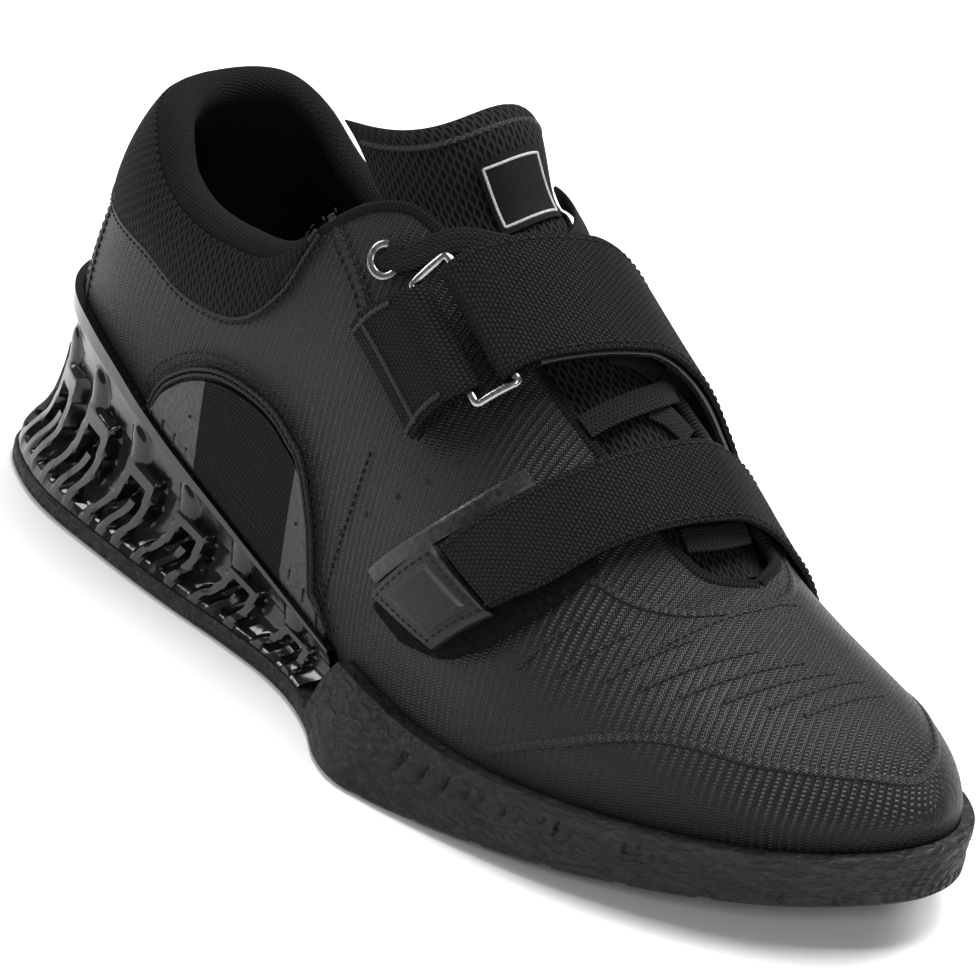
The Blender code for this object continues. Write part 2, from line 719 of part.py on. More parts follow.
def make_insole(material):
    """Insole: it lies on the bed inside the upper's lower edge."""
    turns = shell_stations()
    sides, around = loop_of(turns)
    inset = -(UPPER_WALL + 4 * CLEARANCE)
    rows = [[] for _ in range(3)]
    for side, turn in zip(sides, around):
        bed = float(bed_height(turn))
        for k, (high, more) in enumerate(((0.0, 0.0), (0.7, 0.0), (1.0, 0.0012))):
            z = bed + high * INSOLE_THICKNESS
            place = on_upper(turn, float(across_at(side, turn, z)), inset - more)
            place[2] = z
            rows[k].append(place)
    return ring_loft("insole", rows, turns, material)


def shell_stations():
    """Station turns of the upper and the insole, with those of the collar's corner and the throat's end."""
    corner = [row[0] for row in COLLAR_EDGE[-4:]]
    return stations([BLOCK_END, STEP_END, THROAT_EDGE[-1][0], *corner], BASE_STATIONS)


def collar_share(turn):
    """1 round the padded collar, falling to 0 at the eyestays."""
    return 1.0 - step(0.30, 0.43, along_of(turn))


def shell_rows(side, turn):
    """Outer points, rim points and inner points of the upper's wall at one station, from the lower edge round."""
    top = float(top_edge(side, turn))
    padded = float(collar_share(turn))
    lows = np.linspace(2.0, 1.0, LOW_ROWS + 1)[:-1]
    across = np.concatenate([lows, 1.0 - top * np.linspace(0.0, 1.0, HIGH_ROWS + 1)]) * side
    rise = np.clip((1.0 - np.abs(across)) / top, 0.0, 1.0)
    puff = COLLAR_PUFF * padded * step(0.35, 0.8, rise)
    wall = UPPER_WALL + (COLLAR_WALL - UPPER_WALL) * padded * step(0.2, 0.85, rise)
    turns = np.full(len(across), turn)
    normal = on_upper(turns, across, 1.0) - on_upper(turns, across, 0.0)
    outer = on_upper(turns, across, 0.0) + normal * puff[:, None]
    inner = on_upper(turns, across, 0.0) - normal * wall[:, None]
    middle, out = (outer[-1] + inner[-1]) / 2, (outer[-1] - inner[-1]) / 2
    climb = outer[-1] - outer[-2]
    climb = climb / np.linalg.norm(climb) * np.linalg.norm(out) * padded
    rim = [middle + math.cos(a) * out + math.sin(a) * climb for a in np.linspace(0, math.pi, RIM_ROWS + 2)[1:-1]]
    return np.concatenate([outer, rim, inner[::-1]])


def make_upper(material):
    """Upper: one hollow wall, open underneath, at the collar and along the throat, and closed over the toes."""
    turns = shell_stations()
    closed = [float(top_edge(LATERAL, t)) > 1 - 1e-6 for t in turns]
    points, faces = [], []
    outer_count = LOW_ROWS + HIGH_ROWS + 1
    for side in (LATERAL, MEDIAL):
        grid = np.array([shell_rows(side, t) for t in turns])
        start = len(points)
        count = grid.shape[1]
        points.extend(grid.reshape(-1, 3))
        for i in range(len(turns) - 1):
            for k in range(count):
                if closed[i] and closed[i + 1] and outer_count - 1 <= k < outer_count + RIM_ROWS:
                    continue
                m = (k + 1) % count
                a, b = start + i * count + k, start + i * count + m
                c, d = start + (i + 1) * count + m, start + (i + 1) * count + k
                faces.append((a, b, c, d) if side < 0 else (d, c, b, a))
    return make_solid("upper", points, faces, material)


def tongue_point(v, w, depth):
    """A place in the tongue: v from its toe end to its top, w from its lateral edge at -1 to its medial at 1, and
    a depth below its outer face."""
    top = TONGUE_TOP - np.where(np.asarray(w) < 0, TONGUE_TOP_ARCH[0], TONGUE_TOP_ARCH[1]) * np.abs(w) ** 3
    along = TONGUE_TOE + (top - TONGUE_TOE) * v
    half = TONGUE_HALF_SPREAD * (0.62 + 0.38 * step(0.0, 0.3, v)) * (1.0 - 0.10 * step(0.75, 1.0, v))
    free = step(0.78, 1.0, v)
    under = -(UPPER_WALL + TONGUE_GAP)
    middle = np.clip(1.0 - (w / 0.62) ** 2, 0.0, 1.0) ** 1.5
    out = under + (TONGUE_BULGE - under) * middle * step(0.0, 0.2, v) * (1.0 - free)
    out = out + free * (TONGUE_TOP_RISE * (1.0 - np.abs(w) ** 3) - TONGUE_SIDE_TUCK * np.abs(w) ** 3 - under)
    return on_upper(turn_of(along), half * w, out - depth)


def make_tongue(material):
    """Padded tongue: it runs from under the toe end of the throat to its arched top above the collar."""
    v = np.linspace(0.0, 1.0, 14)[:, None] * np.ones((1, 11))
    w = np.linspace(-1.0, 1.0, 11)[None, :] * np.ones((14, 1))
    thick = TONGUE_THICKNESS * (0.45 + 0.55 * step(0.1, 0.8, v)) * (1.0 - 0.65 * np.abs(w) ** 4)
    thick = thick * (1.0 - 0.6 * step(0.93, 1.0, v))
    sink = 0.35 * TONGUE_THICKNESS * step(0.93, 1.0, v)
    return sheet_solid("tongue", tongue_point(v, w, sink), tongue_point(v, w, sink + thick), material)


def make_label(material):
    """Woven label sewn on the tongue, with nothing on it."""
    v = np.linspace(LABEL_V[0], LABEL_V[1], 5)[:, None] * np.ones((1, 5))
    w = np.linspace(LABEL_W[0], LABEL_W[1], 5)[None, :] * np.ones((5, 1))
    low = -2.4 * CLEARANCE
    return sheet_solid("tongue_label", tongue_point(v, w, low - LABEL_THICKNESS), tongue_point(v, w, low), material)


def strap_edges(table, across):
    """Shares of the length of a band's rear and front edges at places across the upper."""
    rows = np.array(table[1:], float)
    return tuple(smooth(rows[:, 0], rows[:, k], across) for k in (1, 2))


def make_band(name, table, path, thickness, material, columns=3):
    """A flat band: its path is places across the upper with the height of its middle layer above it, and the
    table gives the edges."""
    path = np.asarray(path, float)
    rear, front = strap_edges(table, path[:, 0])
    share = np.linspace(0.0, 1.0, columns + 1)
    along = rear[:, None] + (front - rear)[:, None] * share
    across = np.repeat(path[:, :1], columns + 1, axis=1)
    middle = on_upper(turn_of(along), across, np.repeat(path[:, 1:], columns + 1, axis=1))
    ahead = np.gradient(middle, axis=0)
    wide = np.gradient(middle, axis=1)
    normal = np.cross(ahead, wide)
    normal = normal / np.linalg.norm(normal, axis=-1, keepdims=True) * thickness / 2
    return sheet_solid(name, middle + normal, middle - normal, material)


def wrap_path(across, out, radius, start, end, turning):
    """Points on an arc round a wire at a place across the upper, as places across and heights above it."""
    angles = np.radians(np.linspace(start, end, turning))
    return [(across + radius * math.cos(a) / ACROSS_LENGTH, out + radius * math.sin(a)) for a in angles]


def make_ring(material):
    """Wire ring: a rounded rectangle between the holder's loop and the fold of the upper strap."""
    corners = ((RING_REAR[0], HOLDER_BAR), (RING_FRONT[0], HOLDER_BAR), (RING_FRONT[1], STRAP_BAR), (RING_REAR[1], STRAP_BAR))
    spots = []
    for k, (along, (across, out)) in enumerate(corners):
        here = np.array([along, across, out])
        before = np.array([corners[k - 1][0], *corners[k - 1][1]])
        after = np.array([corners[(k + 1) % 4][0], *corners[(k + 1) % 4][1]])
        back, forth = before - here, after - here
        near = 0.12 if k % 2 == 0 else 0.28
        far = 0.28 if k % 2 == 0 else 0.12
        for share in (1.0, 0.35):
            spots.append(here + back * share * far)
        for share in (0.35, 1.0):
            spots.append(here + forth * share * near)
        spots.append(here + forth * 0.5)
    spots = np.array(spots)
    return tube_solid("wire_ring", on_upper(turn_of(spots[:, 0]), spots[:, 1], spots[:, 2]), WIRE_RADIUS, material)


def dense(path, most=0.085):
    """A path across the upper with points between those that lie far apart."""
    points = [path[0]]
    for before, after in zip(path, path[1:]):
        pieces = max(1, math.ceil(abs(after[0] - before[0]) / most))
        for k in range(1, pieces + 1):
            points.append(tuple(np.array(before) + (np.array(after) - np.array(before)) * k / pieces))
    return points


def make_upper_strap(material):
    """Webbing strap: from the medial sole edge over the instep, round the ring's bar and back over itself."""
    bar, height = STRAP_BAR
    around = WIRE_RADIUS + CLEARANCE + STRAP_THICKNESS / 2
    lower = [(a, height - around + drop) for a, drop in UPPER_STRAP_LOWER]
    fold = wrap_path(bar, height, around, -90, -270, 9)
    upper = [(a, height + around + drop) for a, drop in UPPER_STRAP_UPPER]
    path = dense(lower + fold[:1]) + fold[1:-1] + dense(fold[-1:] + upper)
    return make_band("upper_strap", UPPER_STRAP_EDGES, path, STRAP_THICKNESS, material)


def make_lower_strap(material):
    """Webbing strap: from the medial sole edge over the foot to the pull tab on the lateral side."""
    return make_band("lower_strap", LOWER_STRAP_EDGES, dense(LOWER_STRAP_PATH), STRAP_THICKNESS, material)


def make_ring_holder(material):
    """Webbing loop: sewn into the upper, round the ring's other bar and back."""
    bar, height = HOLDER_BAR
    around = WIRE_RADIUS + CLEARANCE + HOLDER_THICKNESS / 2
    lower = [(HOLDER_START, CLEARANCE + HOLDER_THICKNESS / 2), (bar - 0.05, height - around - 0.0002)]
    fold = wrap_path(bar, height, around, -90, 90, 8)
    upper = [(bar - 0.05, height + around - 0.0002), (HOLDER_START, CLEARANCE + 1.9 * HOLDER_THICKNESS)]
    path = dense(lower) + fold + dense(upper)
    return make_band("ring_holder", HOLDER_EDGES, path, HOLDER_THICKNESS, material, columns=3)


def make_strap_tab(material):
    """Rubber pull tab moulded on the strap's end, with a raised block in its middle."""
    shares = np.array([0.0, 0.06, 0.17, 0.23, 0.5, 0.77, 0.83, 0.94, 1.0])
    p, q = np.meshgrid(shares, shares, indexing="ij")
    a, b, c, d = (np.array(corner) for corner in TAB_CORNERS)
    spot = (
        a * ((1 - p) * (1 - q))[..., None]
        + b * (p * (1 - q))[..., None]
        + c * (p * q)[..., None]
        + d * ((1 - p) * q)[..., None]
    )
    edge = np.minimum(np.minimum(p, 1 - p), np.minimum(q, 1 - q))
    top = TAB_UNDER + TAB_THICKNESS - TAB_EDGE_DROP * (edge < 0.03) + TAB_BLOCK_RISE * (edge > 0.2)
    turn = turn_of(spot[..., 0])
    outer = on_upper(turn, spot[..., 1], top)
    inner = on_upper(turn, spot[..., 1], np.full(p.shape, TAB_UNDER))
    return sheet_solid("strap_tab", outer, inner, material)


def make_lace(name, stops, material):
    """One run of the flat lace through its stops: shares of the length, places across and heights above the upper."""
    stops = np.array(stops, float)
    count = len(stops)
    s = np.linspace(0.0, count - 1.0, 3 * (count - 1) + 1)
    along, across, out = (smooth(np.arange(count), stops[:, k], s) for k in range(3))
    turn = turn_of(along)
    middle = on_upper(turn, across, out)
    normal = on_upper(turn, across, out + 1.0) - middle
    ahead = np.gradient(middle, axis=0)
    wide = np.cross(normal, ahead)
    wide = wide / np.linalg.norm(wide, axis=1, keepdims=True) * LACE_WIDTH / 2
    half = normal * LACE_THICKNESS / 2
    outer = np.stack([middle - wide + half, middle + wide + half], axis=1)
    inner = np.stack([middle - wide - half, middle + wide - half], axis=1)
    return sheet_solid(name, outer, inner, material)


def make_eyelet(name, side, material):
    """Metal eyelet pressed into the top corner of the eyestay."""
    along, across = EYELET_PLACE
    turn = float(turn_of(along))
    centre = on_upper(turn, side * across, CLEARANCE)
    normal = on_upper(turn, side * across, 1.0) - on_upper(turn, side * across, 0.0)
    first = np.cross(normal, [0.0, 0.0, 1.0])
    first /= np.linalg.norm(first)
    second = np.cross(normal, first)
    angle = np.arange(20) * 2 * math.pi / 20
    round_ = np.cos(angle)[:, None] * first + np.sin(angle)[:, None] * second
    outline = ((EYELET_HOLE, 0.0), (EYELET_RADIUS, 0.0), (EYELET_RADIUS * 0.93, EYELET_RISE), (EYELET_HOLE * 1.1, EYELET_RISE))
    rows = [centre + round_ * radius + normal * high for radius, high in outline]
    faces = []
    for k in range(4):
        for i in range(20):
            j, m = (i + 1) % 20, (k + 1) % 4
            faces.append((k * 20 + i, k * 20 + j, m * 20 + j, m * 20 + i))
    return make_solid(name, np.concatenate(rows), faces, material)


def make_gore(name, side, material):
    """Elastic gore with leather ends, a half oval that stands on the heel block's edge."""
    rows = np.array(GORE_EDGE[1:], float)
    along = np.linspace(rows[0, 0], rows[-1, 0], 13)
    top = smooth(rows[:, 0], rows[:, 1], along)
    turn = turn_of(along)
    rim = np.array([max(block_top(side, float(t)), float(bed_height(t)) + 0.001) for t in turn])
    low = np.abs(across_at(side, turn, rim + GORE_CLEAR))
    low = np.maximum(low, top + 0.02)
    share = np.linspace(0.0, 1.0, 5)
    across = side * (low[:, None] + (top - low)[:, None] * share)
    turns = np.repeat(turn[:, None], len(share), axis=1)
    outer = on_upper(turns, across, np.full(across.shape, CLEARANCE + GORE_THICKNESS))
    inner = on_upper(turns, across, np.full(across.shape, CLEARANCE))
    return sheet_solid(name, outer, inner, material)


def main():
    for thing in list(bpy.data.objects):
        bpy.data.objects.remove(thing, do_unlink=True)
    rubber = make_material("rubber", (0.045, 0.046, 0.048), 0.75)
    moulded = make_material("glossy_plastic", (0.008, 0.008, 0.009), 0.12)
    shell = make_material("shell_fabric", (0.018, 0.018, 0.020), 0.55)
    knit = make_material("air_mesh", (0.014, 0.014, 0.015), 0.85)
    webbing = make_material("webbing", (0.016, 0.016, 0.017), 0.80)
    steel = make_material("steel", (0.75, 0.75, 0.76), 0.18, 1.0)
    foam = make_material("insole_cloth", (0.015, 0.015, 0.016), 0.90)
    make_outsole(rubber)
    make_heel_block(moulded)
    make_insole(foam)
    make_upper(shell)
    make_tongue(knit)
    make_label(webbing)
    make_band("strap_welt", WELT_EDGES, dense(WELT_PATH), WELT_THICKNESS, shell, columns=1)
    make_band("loop_patch", LOOP_EDGES, dense(LOOP_PATH), LOOP_THICKNESS, webbing)
    make_ring_holder(webbing)
    make_ring(steel)
    make_upper_strap(webbing)
    make_lower_strap(webbing)
    make_strap_tab(rubber)
    for name, stops in LACE_RUNS:
        make_lace(name, stops, webbing)
    for side, word in ((LATERAL, "lateral"), (MEDIAL, "medial")):
        make_eyelet("eyelet_" + word, side, steel)
        make_gore("gore_" + word, side, webbing)


main()
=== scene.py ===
import math

import bmesh
import bpy
import numpy as np
from mathutils import Matrix, Vector


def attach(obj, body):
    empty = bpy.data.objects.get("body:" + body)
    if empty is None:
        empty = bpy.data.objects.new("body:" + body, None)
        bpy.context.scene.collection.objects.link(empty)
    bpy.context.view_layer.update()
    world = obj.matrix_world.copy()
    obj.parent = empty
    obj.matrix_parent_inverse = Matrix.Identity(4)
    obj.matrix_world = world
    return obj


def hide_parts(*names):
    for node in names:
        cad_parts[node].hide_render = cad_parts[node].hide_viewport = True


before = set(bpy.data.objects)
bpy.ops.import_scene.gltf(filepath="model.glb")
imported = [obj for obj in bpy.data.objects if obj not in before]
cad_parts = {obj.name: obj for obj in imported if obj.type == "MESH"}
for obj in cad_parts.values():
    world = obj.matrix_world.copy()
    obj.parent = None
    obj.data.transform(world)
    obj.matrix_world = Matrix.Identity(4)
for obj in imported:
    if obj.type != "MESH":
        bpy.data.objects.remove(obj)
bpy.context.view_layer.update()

# The photograph's view: from behind the heel on the outer side, looking down, and rolled a little. The
# floor and the lights around it are a plain pale studio and not part of the shoe.
VIEW_TURN, VIEW_HEIGHT, VIEW_ROLL = math.radians(44.0), math.radians(27.0), math.radians(8.0)
VIEW_CENTRE = Vector((-0.0005, 0.0, 0.045))
VIEW_DISTANCE = 1.1
PICTURE, FOCAL, SHIFT_X, SHIFT_Y = 980.0, 4700.0, 13.0, 5.0
back = Vector((math.sin(VIEW_TURN) * math.cos(VIEW_HEIGHT), -math.cos(VIEW_TURN) * math.cos(VIEW_HEIGHT),
               math.sin(VIEW_HEIGHT)))
level = Vector((math.cos(VIEW_TURN), math.sin(VIEW_TURN), 0.0))
above = back.cross(level)
right = math.cos(VIEW_ROLL) * level + math.sin(VIEW_ROLL) * above
upward = math.cos(VIEW_ROLL) * above - math.sin(VIEW_ROLL) * level
camera_data = bpy.data.cameras.new("camera")
camera_data.sensor_width = 36.0
camera_data.lens = FOCAL * camera_data.sensor_width / PICTURE
camera_data.shift_x, camera_data.shift_y = SHIFT_X / PICTURE, SHIFT_Y / PICTURE
camera = bpy.data.objects.new("camera", camera_data)
bpy.context.scene.collection.objects.link(camera)
turned = Matrix((right, upward, back)).transposed().to_4x4()
camera.matrix_world = Matrix.Translation(VIEW_CENTRE + back * VIEW_DISTANCE) @ turned
bpy.context.scene.camera = camera

floor_mesh = bpy.data.meshes.new("floor")
FLOOR_HALF = 6.0
corners = [(-FLOOR_HALF, -FLOOR_HALF, 0), (FLOOR_HALF, -FLOOR_HALF, 0), (FLOOR_HALF, FLOOR_HALF, 0),
           (-FLOOR_HALF, FLOOR_HALF, 0)]
floor_mesh.from_pydata(corners, [], [(0, 1, 2, 3)])
floor_paint = bpy.data.materials.new("pale_floor")
floor_paint.use_nodes = True
floor_paint.node_tree.nodes["Principled BSDF"].inputs["Base Color"].default_value = (0.90, 0.90, 0.905, 1.0)
floor_paint.node_tree.nodes["Principled BSDF"].inputs["Roughness"].default_value = 0.75
floor_mesh.materials.append(floor_paint)
floor = bpy.data.objects.new("floor", floor_mesh)
bpy.context.scene.collection.objects.link(floor)

world = bpy.data.worlds.new("studio")
world.use_nodes = True
world.node_tree.nodes["Background"].inputs["Color"].default_value = (0.93, 0.95, 1.0, 1.0)
world.node_tree.nodes["Background"].inputs["Strength"].default_value = 0.20
bpy.context.scene.world = world
bpy.context.scene.view_settings.view_transform = "Standard"
SOFTBOXES = (
    ("name", "place", "size", "power"),
    ("above", (0.10, 0.25, 1.25), 0.80, 24.0),
    ("heel_side", (-1.10, -0.55, 0.65), 0.50, 7.0),
    ("toe_side", (1.00, -0.85, 0.85), 0.50, 7.0),
    ("far_side", (0.10, 1.20, 0.90), 0.60, 15.0),
)
for name, place, size, power in SOFTBOXES[1:]:
    light = bpy.data.lights.new(name, "AREA")
    light.size, light.energy = size, power
    lamp = bpy.data.objects.new(name, light)
    lamp.location = place
    lamp.rotation_euler = (Vector((0.0, 0.0, 0.05)) - Vector(place)).to_track_quat("-Z", "Y").to_euler()
    bpy.context.scene.collection.objects.link(lamp)

# The last: the foot's form that every piece is laid on. A place on it is a station turn from heel to toe
# and a place across, -2 at the outer lower edge, 0 on the ridge, 2 at the inner lower edge, and a height
# above it.
SHOE_LENGTH = 0.295
BALL_WIDTH = 0.106
COLLAR_HEIGHT = 0.1075
INSTEP_HEIGHT = 0.140
CLEARANCE = 0.0003
OUTSOLE_BED_THICKNESS = 0.0095
TOE_SPRING = 0.0125
TOE_SPRING_START = 0.60
HEEL_BED_HEIGHT = 0.033
TOE_MARGIN = 0.0035
HEEL_MARGIN = 0.0155
TUCK = 0.0025
WIDEST_RISE = 0.013
HEEL_LEAN = 0.0195
HEEL_LEAN_START = 0.050
MEDIAL, LATERAL = 1.0, -1.0
# Outline of the outsole on the floor: half widths on each side, as shares of BALL_WIDTH
SOLE_OUTLINE = (
    ("along", "lateral", "medial"),
    (0.000, 0.000, 0.000),
    (0.012, 0.160, 0.155),
    (0.031, 0.250, 0.240),
    (0.072, 0.325, 0.315),
    (0.129, 0.378, 0.352),
    (0.200, 0.400, 0.362),
    (0.305, 0.418, 0.350),
    (0.393, 0.421, 0.325),
    (0.445, 0.432, 0.314),
    (0.490, 0.462, 0.314),
    (0.525, 0.505, 0.325),
    (0.558, 0.562, 0.340),
    (0.588, 0.590, 0.358),
    (0.627, 0.582, 0.382),
    (0.670, 0.560, 0.404),
    (0.729, 0.522, 0.425),
    (0.790, 0.470, 0.432),
    (0.845, 0.400, 0.418),
    (0.895, 0.320, 0.378),
    (0.945, 0.205, 0.306),
    (0.980, 0.080, 0.216),
    (1.000, -0.070, 0.070),
)
# Upper: widest half widths as shares of BALL_WIDTH, ridge height as a share of INSTEP_HEIGHT, ridge offset
# towards the big toe as a share of BALL_WIDTH, and how full the arch of the section is (2 is an ellipse)
UPPER_SECTIONS = (
    ("along", "lateral", "medial", "ridge", "ridge_side", "fullness"),
    (0.000, 0.000, 0.000, 1.070, 0.000, 2.30),
    (0.012, 0.130, 0.130, 1.075, 0.000, 2.30),
    (0.045, 0.232, 0.230, 1.080, 0.000, 2.30),
    (0.100, 0.300, 0.290, 1.085, 0.000, 2.30),
    (0.180, 0.340, 0.318, 1.085, 0.000, 2.30),
    (0.260, 0.356, 0.322, 1.070, 0.005, 2.30),
    (0.340, 0.366, 0.318, 1.035, 0.015, 2.25),
    (0.400, 0.376, 0.316, 0.980, 0.025, 2.20),
    (0.453, 0.392, 0.318, 0.915, 0.035, 2.15),
    (0.500, 0.412, 0.326, 0.842, 0.045, 2.10),
    (0.548, 0.440, 0.336, 0.764, 0.055, 2.05),
    (0.600, 0.468, 0.350, 0.685, 0.062, 2.02),
    (0.650, 0.484, 0.362, 0.612, 0.068, 2.00),
    (0.705, 0.482, 0.370, 0.525, 0.072, 2.00),
    (0.752, 0.462, 0.360, 0.452, 0.071, 2.00),
    (0.800, 0.428, 0.350, 0.405, 0.072, 2.00),
    (0.850, 0.375, 0.334, 0.371, 0.073, 2.00),
    (0.900, 0.302, 0.312, 0.338, 0.076, 2.00),
    (0.945, 0.210, 0.276, 0.300, 0.080, 2.00),
    (0.980, 0.090, 0.212, 0.252, 0.085, 2.00),
    (1.000, -0.088, 0.088, 0.200, 0.088, 2.00),
)


def turn_of(along):
    """The station turn at a share of the length."""
    return np.arccos(1.0 - 2.0 * np.clip(along, 0.0, 1.0)) / math.pi


def along_of(turn):
    """The share of the length at a station turn."""
    return 0.5 * (1.0 - np.cos(math.pi * np.asarray(turn, float)))


def smooth(xs, ys, x):
    """Cubic through the points (xs, ys), with slopes from their neighbours."""
    xs, ys = np.asarray(xs, float), np.asarray(ys, float)
    slope = np.gradient(ys, xs)
    x = np.asarray(x, float)
    i = np.clip(np.searchsorted(xs, x, side="right") - 1, 0, len(xs) - 2)
    h = xs[i + 1] - xs[i]
    t = np.clip((x - xs[i]) / h, 0.0, 1.0)
    return (
        (2 * t**3 - 3 * t**2 + 1) * ys[i]
        + (t**3 - 2 * t**2 + t) * h * slope[i]
        + (3 * t**2 - 2 * t**3) * ys[i + 1]
        + (t**3 - t**2) * h * slope[i + 1]
    )


def read(table, name, turn):
    """A named column of a table at a station turn."""
    rows = np.array(table[1:], float)
    return smooth(turn_of(rows[:, 0]), rows[:, table[0].index(name)], turn)


def side_name(side):
    return "medial" if side > 0 else "lateral"


def step(low, high, x):
    t = np.clip((np.asarray(x, float) - low) / (high - low), 0.0, 1.0)
    return t * t * (3 - 2 * t)


def toe_lift(turn):
    """Toe spring of the sole's underside."""
    t = np.clip((along_of(turn) - TOE_SPRING_START) / (1.0 - TOE_SPRING_START), 0.0, 1.0)
    return TOE_SPRING * t**1.4


def sole_edge(side, turn):
    """Plan point of the outsole's outline."""
    x = SHOE_LENGTH * (along_of(turn) - 0.5)
    return x, side * BALL_WIDTH * read(SOLE_OUTLINE, side_name(side), turn)


def bed_height(turn):
    """Height of the surface that the insole and the upper's lower edge stand on."""
    drop = step(0.12, 0.56, along_of(turn))
    return HEEL_BED_HEIGHT + (OUTSOLE_BED_THICKNESS - HEEL_BED_HEIGHT) * drop + 0.8 * toe_lift(turn)


def section(side, turn):
    """Sizes of the upper's section: widest half width, ridge height, ridge side, fullness, widest
    height."""
    width = side * BALL_WIDTH * read(UPPER_SECTIONS, side_name(side), turn)
    ridge = INSTEP_HEIGHT * read(UPPER_SECTIONS, "ridge", turn)
    ridge_side = BALL_WIDTH * read(UPPER_SECTIONS, "ridge_side", turn)
    fullness = read(UPPER_SECTIONS, "fullness", turn)
    widest = bed_height(turn) + WIDEST_RISE * (1 - 0.45 * step(0.9, 1.0, along_of(turn)))
    return width, ridge, ridge_side, fullness, widest


def heel_lean(z, turn):
    """How far the back of the heel leans towards the toe at a height."""
    high = np.clip((np.asarray(z, float) - HEEL_LEAN_START) / (COLLAR_HEIGHT - HEEL_LEAN_START), 0.0, 2.0)
    return HEEL_LEAN * high**1.4 * (1.0 - step(0.0, 0.26, along_of(turn)))


def upper_point(side, turn, up):
    """Outer surface of the upper. up runs from -1 at the lower edge over 0 at the widest line to 1 at the
    ridge."""
    turn, up = np.broadcast_arrays(np.asarray(turn, float), np.asarray(up, float))
    width, ridge, ridge_side, fullness, widest = section(side, turn)
    angle = np.clip(up, 0.0, 1.0) * math.pi / 2
    power = 2.0 / fullness
    y = ridge_side + (width - ridge_side) * np.cos(angle) ** power
    z = widest + (ridge - widest) * np.sin(angle) ** power
    low = np.clip(-up, 0.0, 1.0)
    z = z - low * (widest - bed_height(turn))
    y = y - side * TUCK * low**2 * np.clip(np.abs(width - ridge_side) / (0.15 * BALL_WIDTH), 0.0, 1.0)
    length = SHOE_LENGTH - HEEL_MARGIN - TOE_MARGIN
    along = along_of(turn)
    x = HEEL_MARGIN - SHOE_LENGTH / 2 + length * along
    x = x + heel_lean(z, turn) + TUCK * low**2 * (step(0.1, 0.0, along) - step(0.9, 1.0, along))
    return np.stack([x, y, z], -1)


def upper_normal(side, turn, up):
    """Outward normal of the upper's outer surface."""
    turn, up = np.broadcast_arrays(np.asarray(turn, float), np.asarray(up, float))
    small = 1e-3
    along = upper_point(side, np.minimum(turn + small, 1.0),
                        up) - upper_point(side, np.maximum(turn - small, 0.0), up)
    high = upper_point(side, turn, np.minimum(up + small, 1.0)) - upper_point(side, turn, up - small)
    normal = -side * np.cross(along, high)
    flat = (turn <= 0.0) | (turn >= 1.0) | (up >= 1.0)
    normal[..., 1] = np.where(flat, 0.0, normal[..., 1])
    return normal / np.linalg.norm(normal, axis=-1, keepdims=True)


def on_upper(turn, across, out=0.0):
    """A place on the upper, or a distance out from it."""
    turn, across, out = np.broadcast_arrays(*(np.asarray(v, float) for v in (turn, across, out)))
    points = np.zeros(turn.shape + (3,))
    for side in (LATERAL, MEDIAL):
        mine = (across < 0) if side < 0 else (across >= 0)
        up = 1.0 - np.abs(across)
        place = upper_point(side, turn, up) + out[..., None] * upper_normal(side, turn, up)
        points = np.where(mine[..., None], place, points)
    return points


def across_at(side, turn, z):
    """The place across the upper where its outer surface passes a height."""
    _, ridge, _, fullness, widest = section(side, turn)
    low = np.clip((widest - z) / (widest - bed_height(turn)), 0.0, 1.0)
    share = np.clip((z - widest) / (ridge - widest), 0.0, 1.0)
    up = np.arcsin(share ** (fullness / 2)) * 2 / math.pi
    return side * (1.0 + low - up)


def inward_of(side, turn):
    """Unit plan direction from the outsole's outline to its inside."""
    small = 2e-3
    before = np.array(sole_edge(side, max(turn - small, 0.0)))
    after = np.array(sole_edge(side, min(turn + small, 1.0)))
    ahead = after - before
    inward = np.array([ahead[1], -ahead[0]]) * side
    if turn <= 0.0 or turn >= 1.0:
        inward = np.array([1.0 if turn <= 0.0 else -1.0, 0.0])
    return np.array([*(inward / np.linalg.norm(inward)), 0.0])


def unit(vectors):
    """Vectors brought to a length of one."""
    return vectors / np.linalg.norm(vectors, axis=-1, keepdims=True).clip(1e-12)


# Outsole: a moulded rubber cup, dark grey and matt. It is flat under the heel block, walled round the
# forefoot, and its side is wrinkled, with short upright grooves towards the toe and notches along the lower
# edge.
OUTSOLE_HEEL_THICKNESS = 0.0050
CUP_RIM_HEIGHT = 0.0180
CUP_WALL_THICKNESS = 0.0032
EDGE_ROUND = 0.0012
STRIP_ROUND = 0.0008
BLOCK_END = 0.487
STEP_START = 0.490
STEP_END = 0.512
TREAD_START = 0.560
TREAD_PITCH = 0.056
TREAD_COUNT = 7
TREAD_GROOVE_WIDTH = 0.014
TREAD_DEPTH = 0.0012
SOLE_STATIONS = 330
SIDE_LAYERS = 12
WRINKLE_DEPTH = 0.00030
DASH_PITCH, DASH_WIDTH, DASH_DEPTH = 0.0034, 0.0012, 0.0012
NOTCH_PITCH, NOTCH_DEPTH = 0.0028, 0.0005


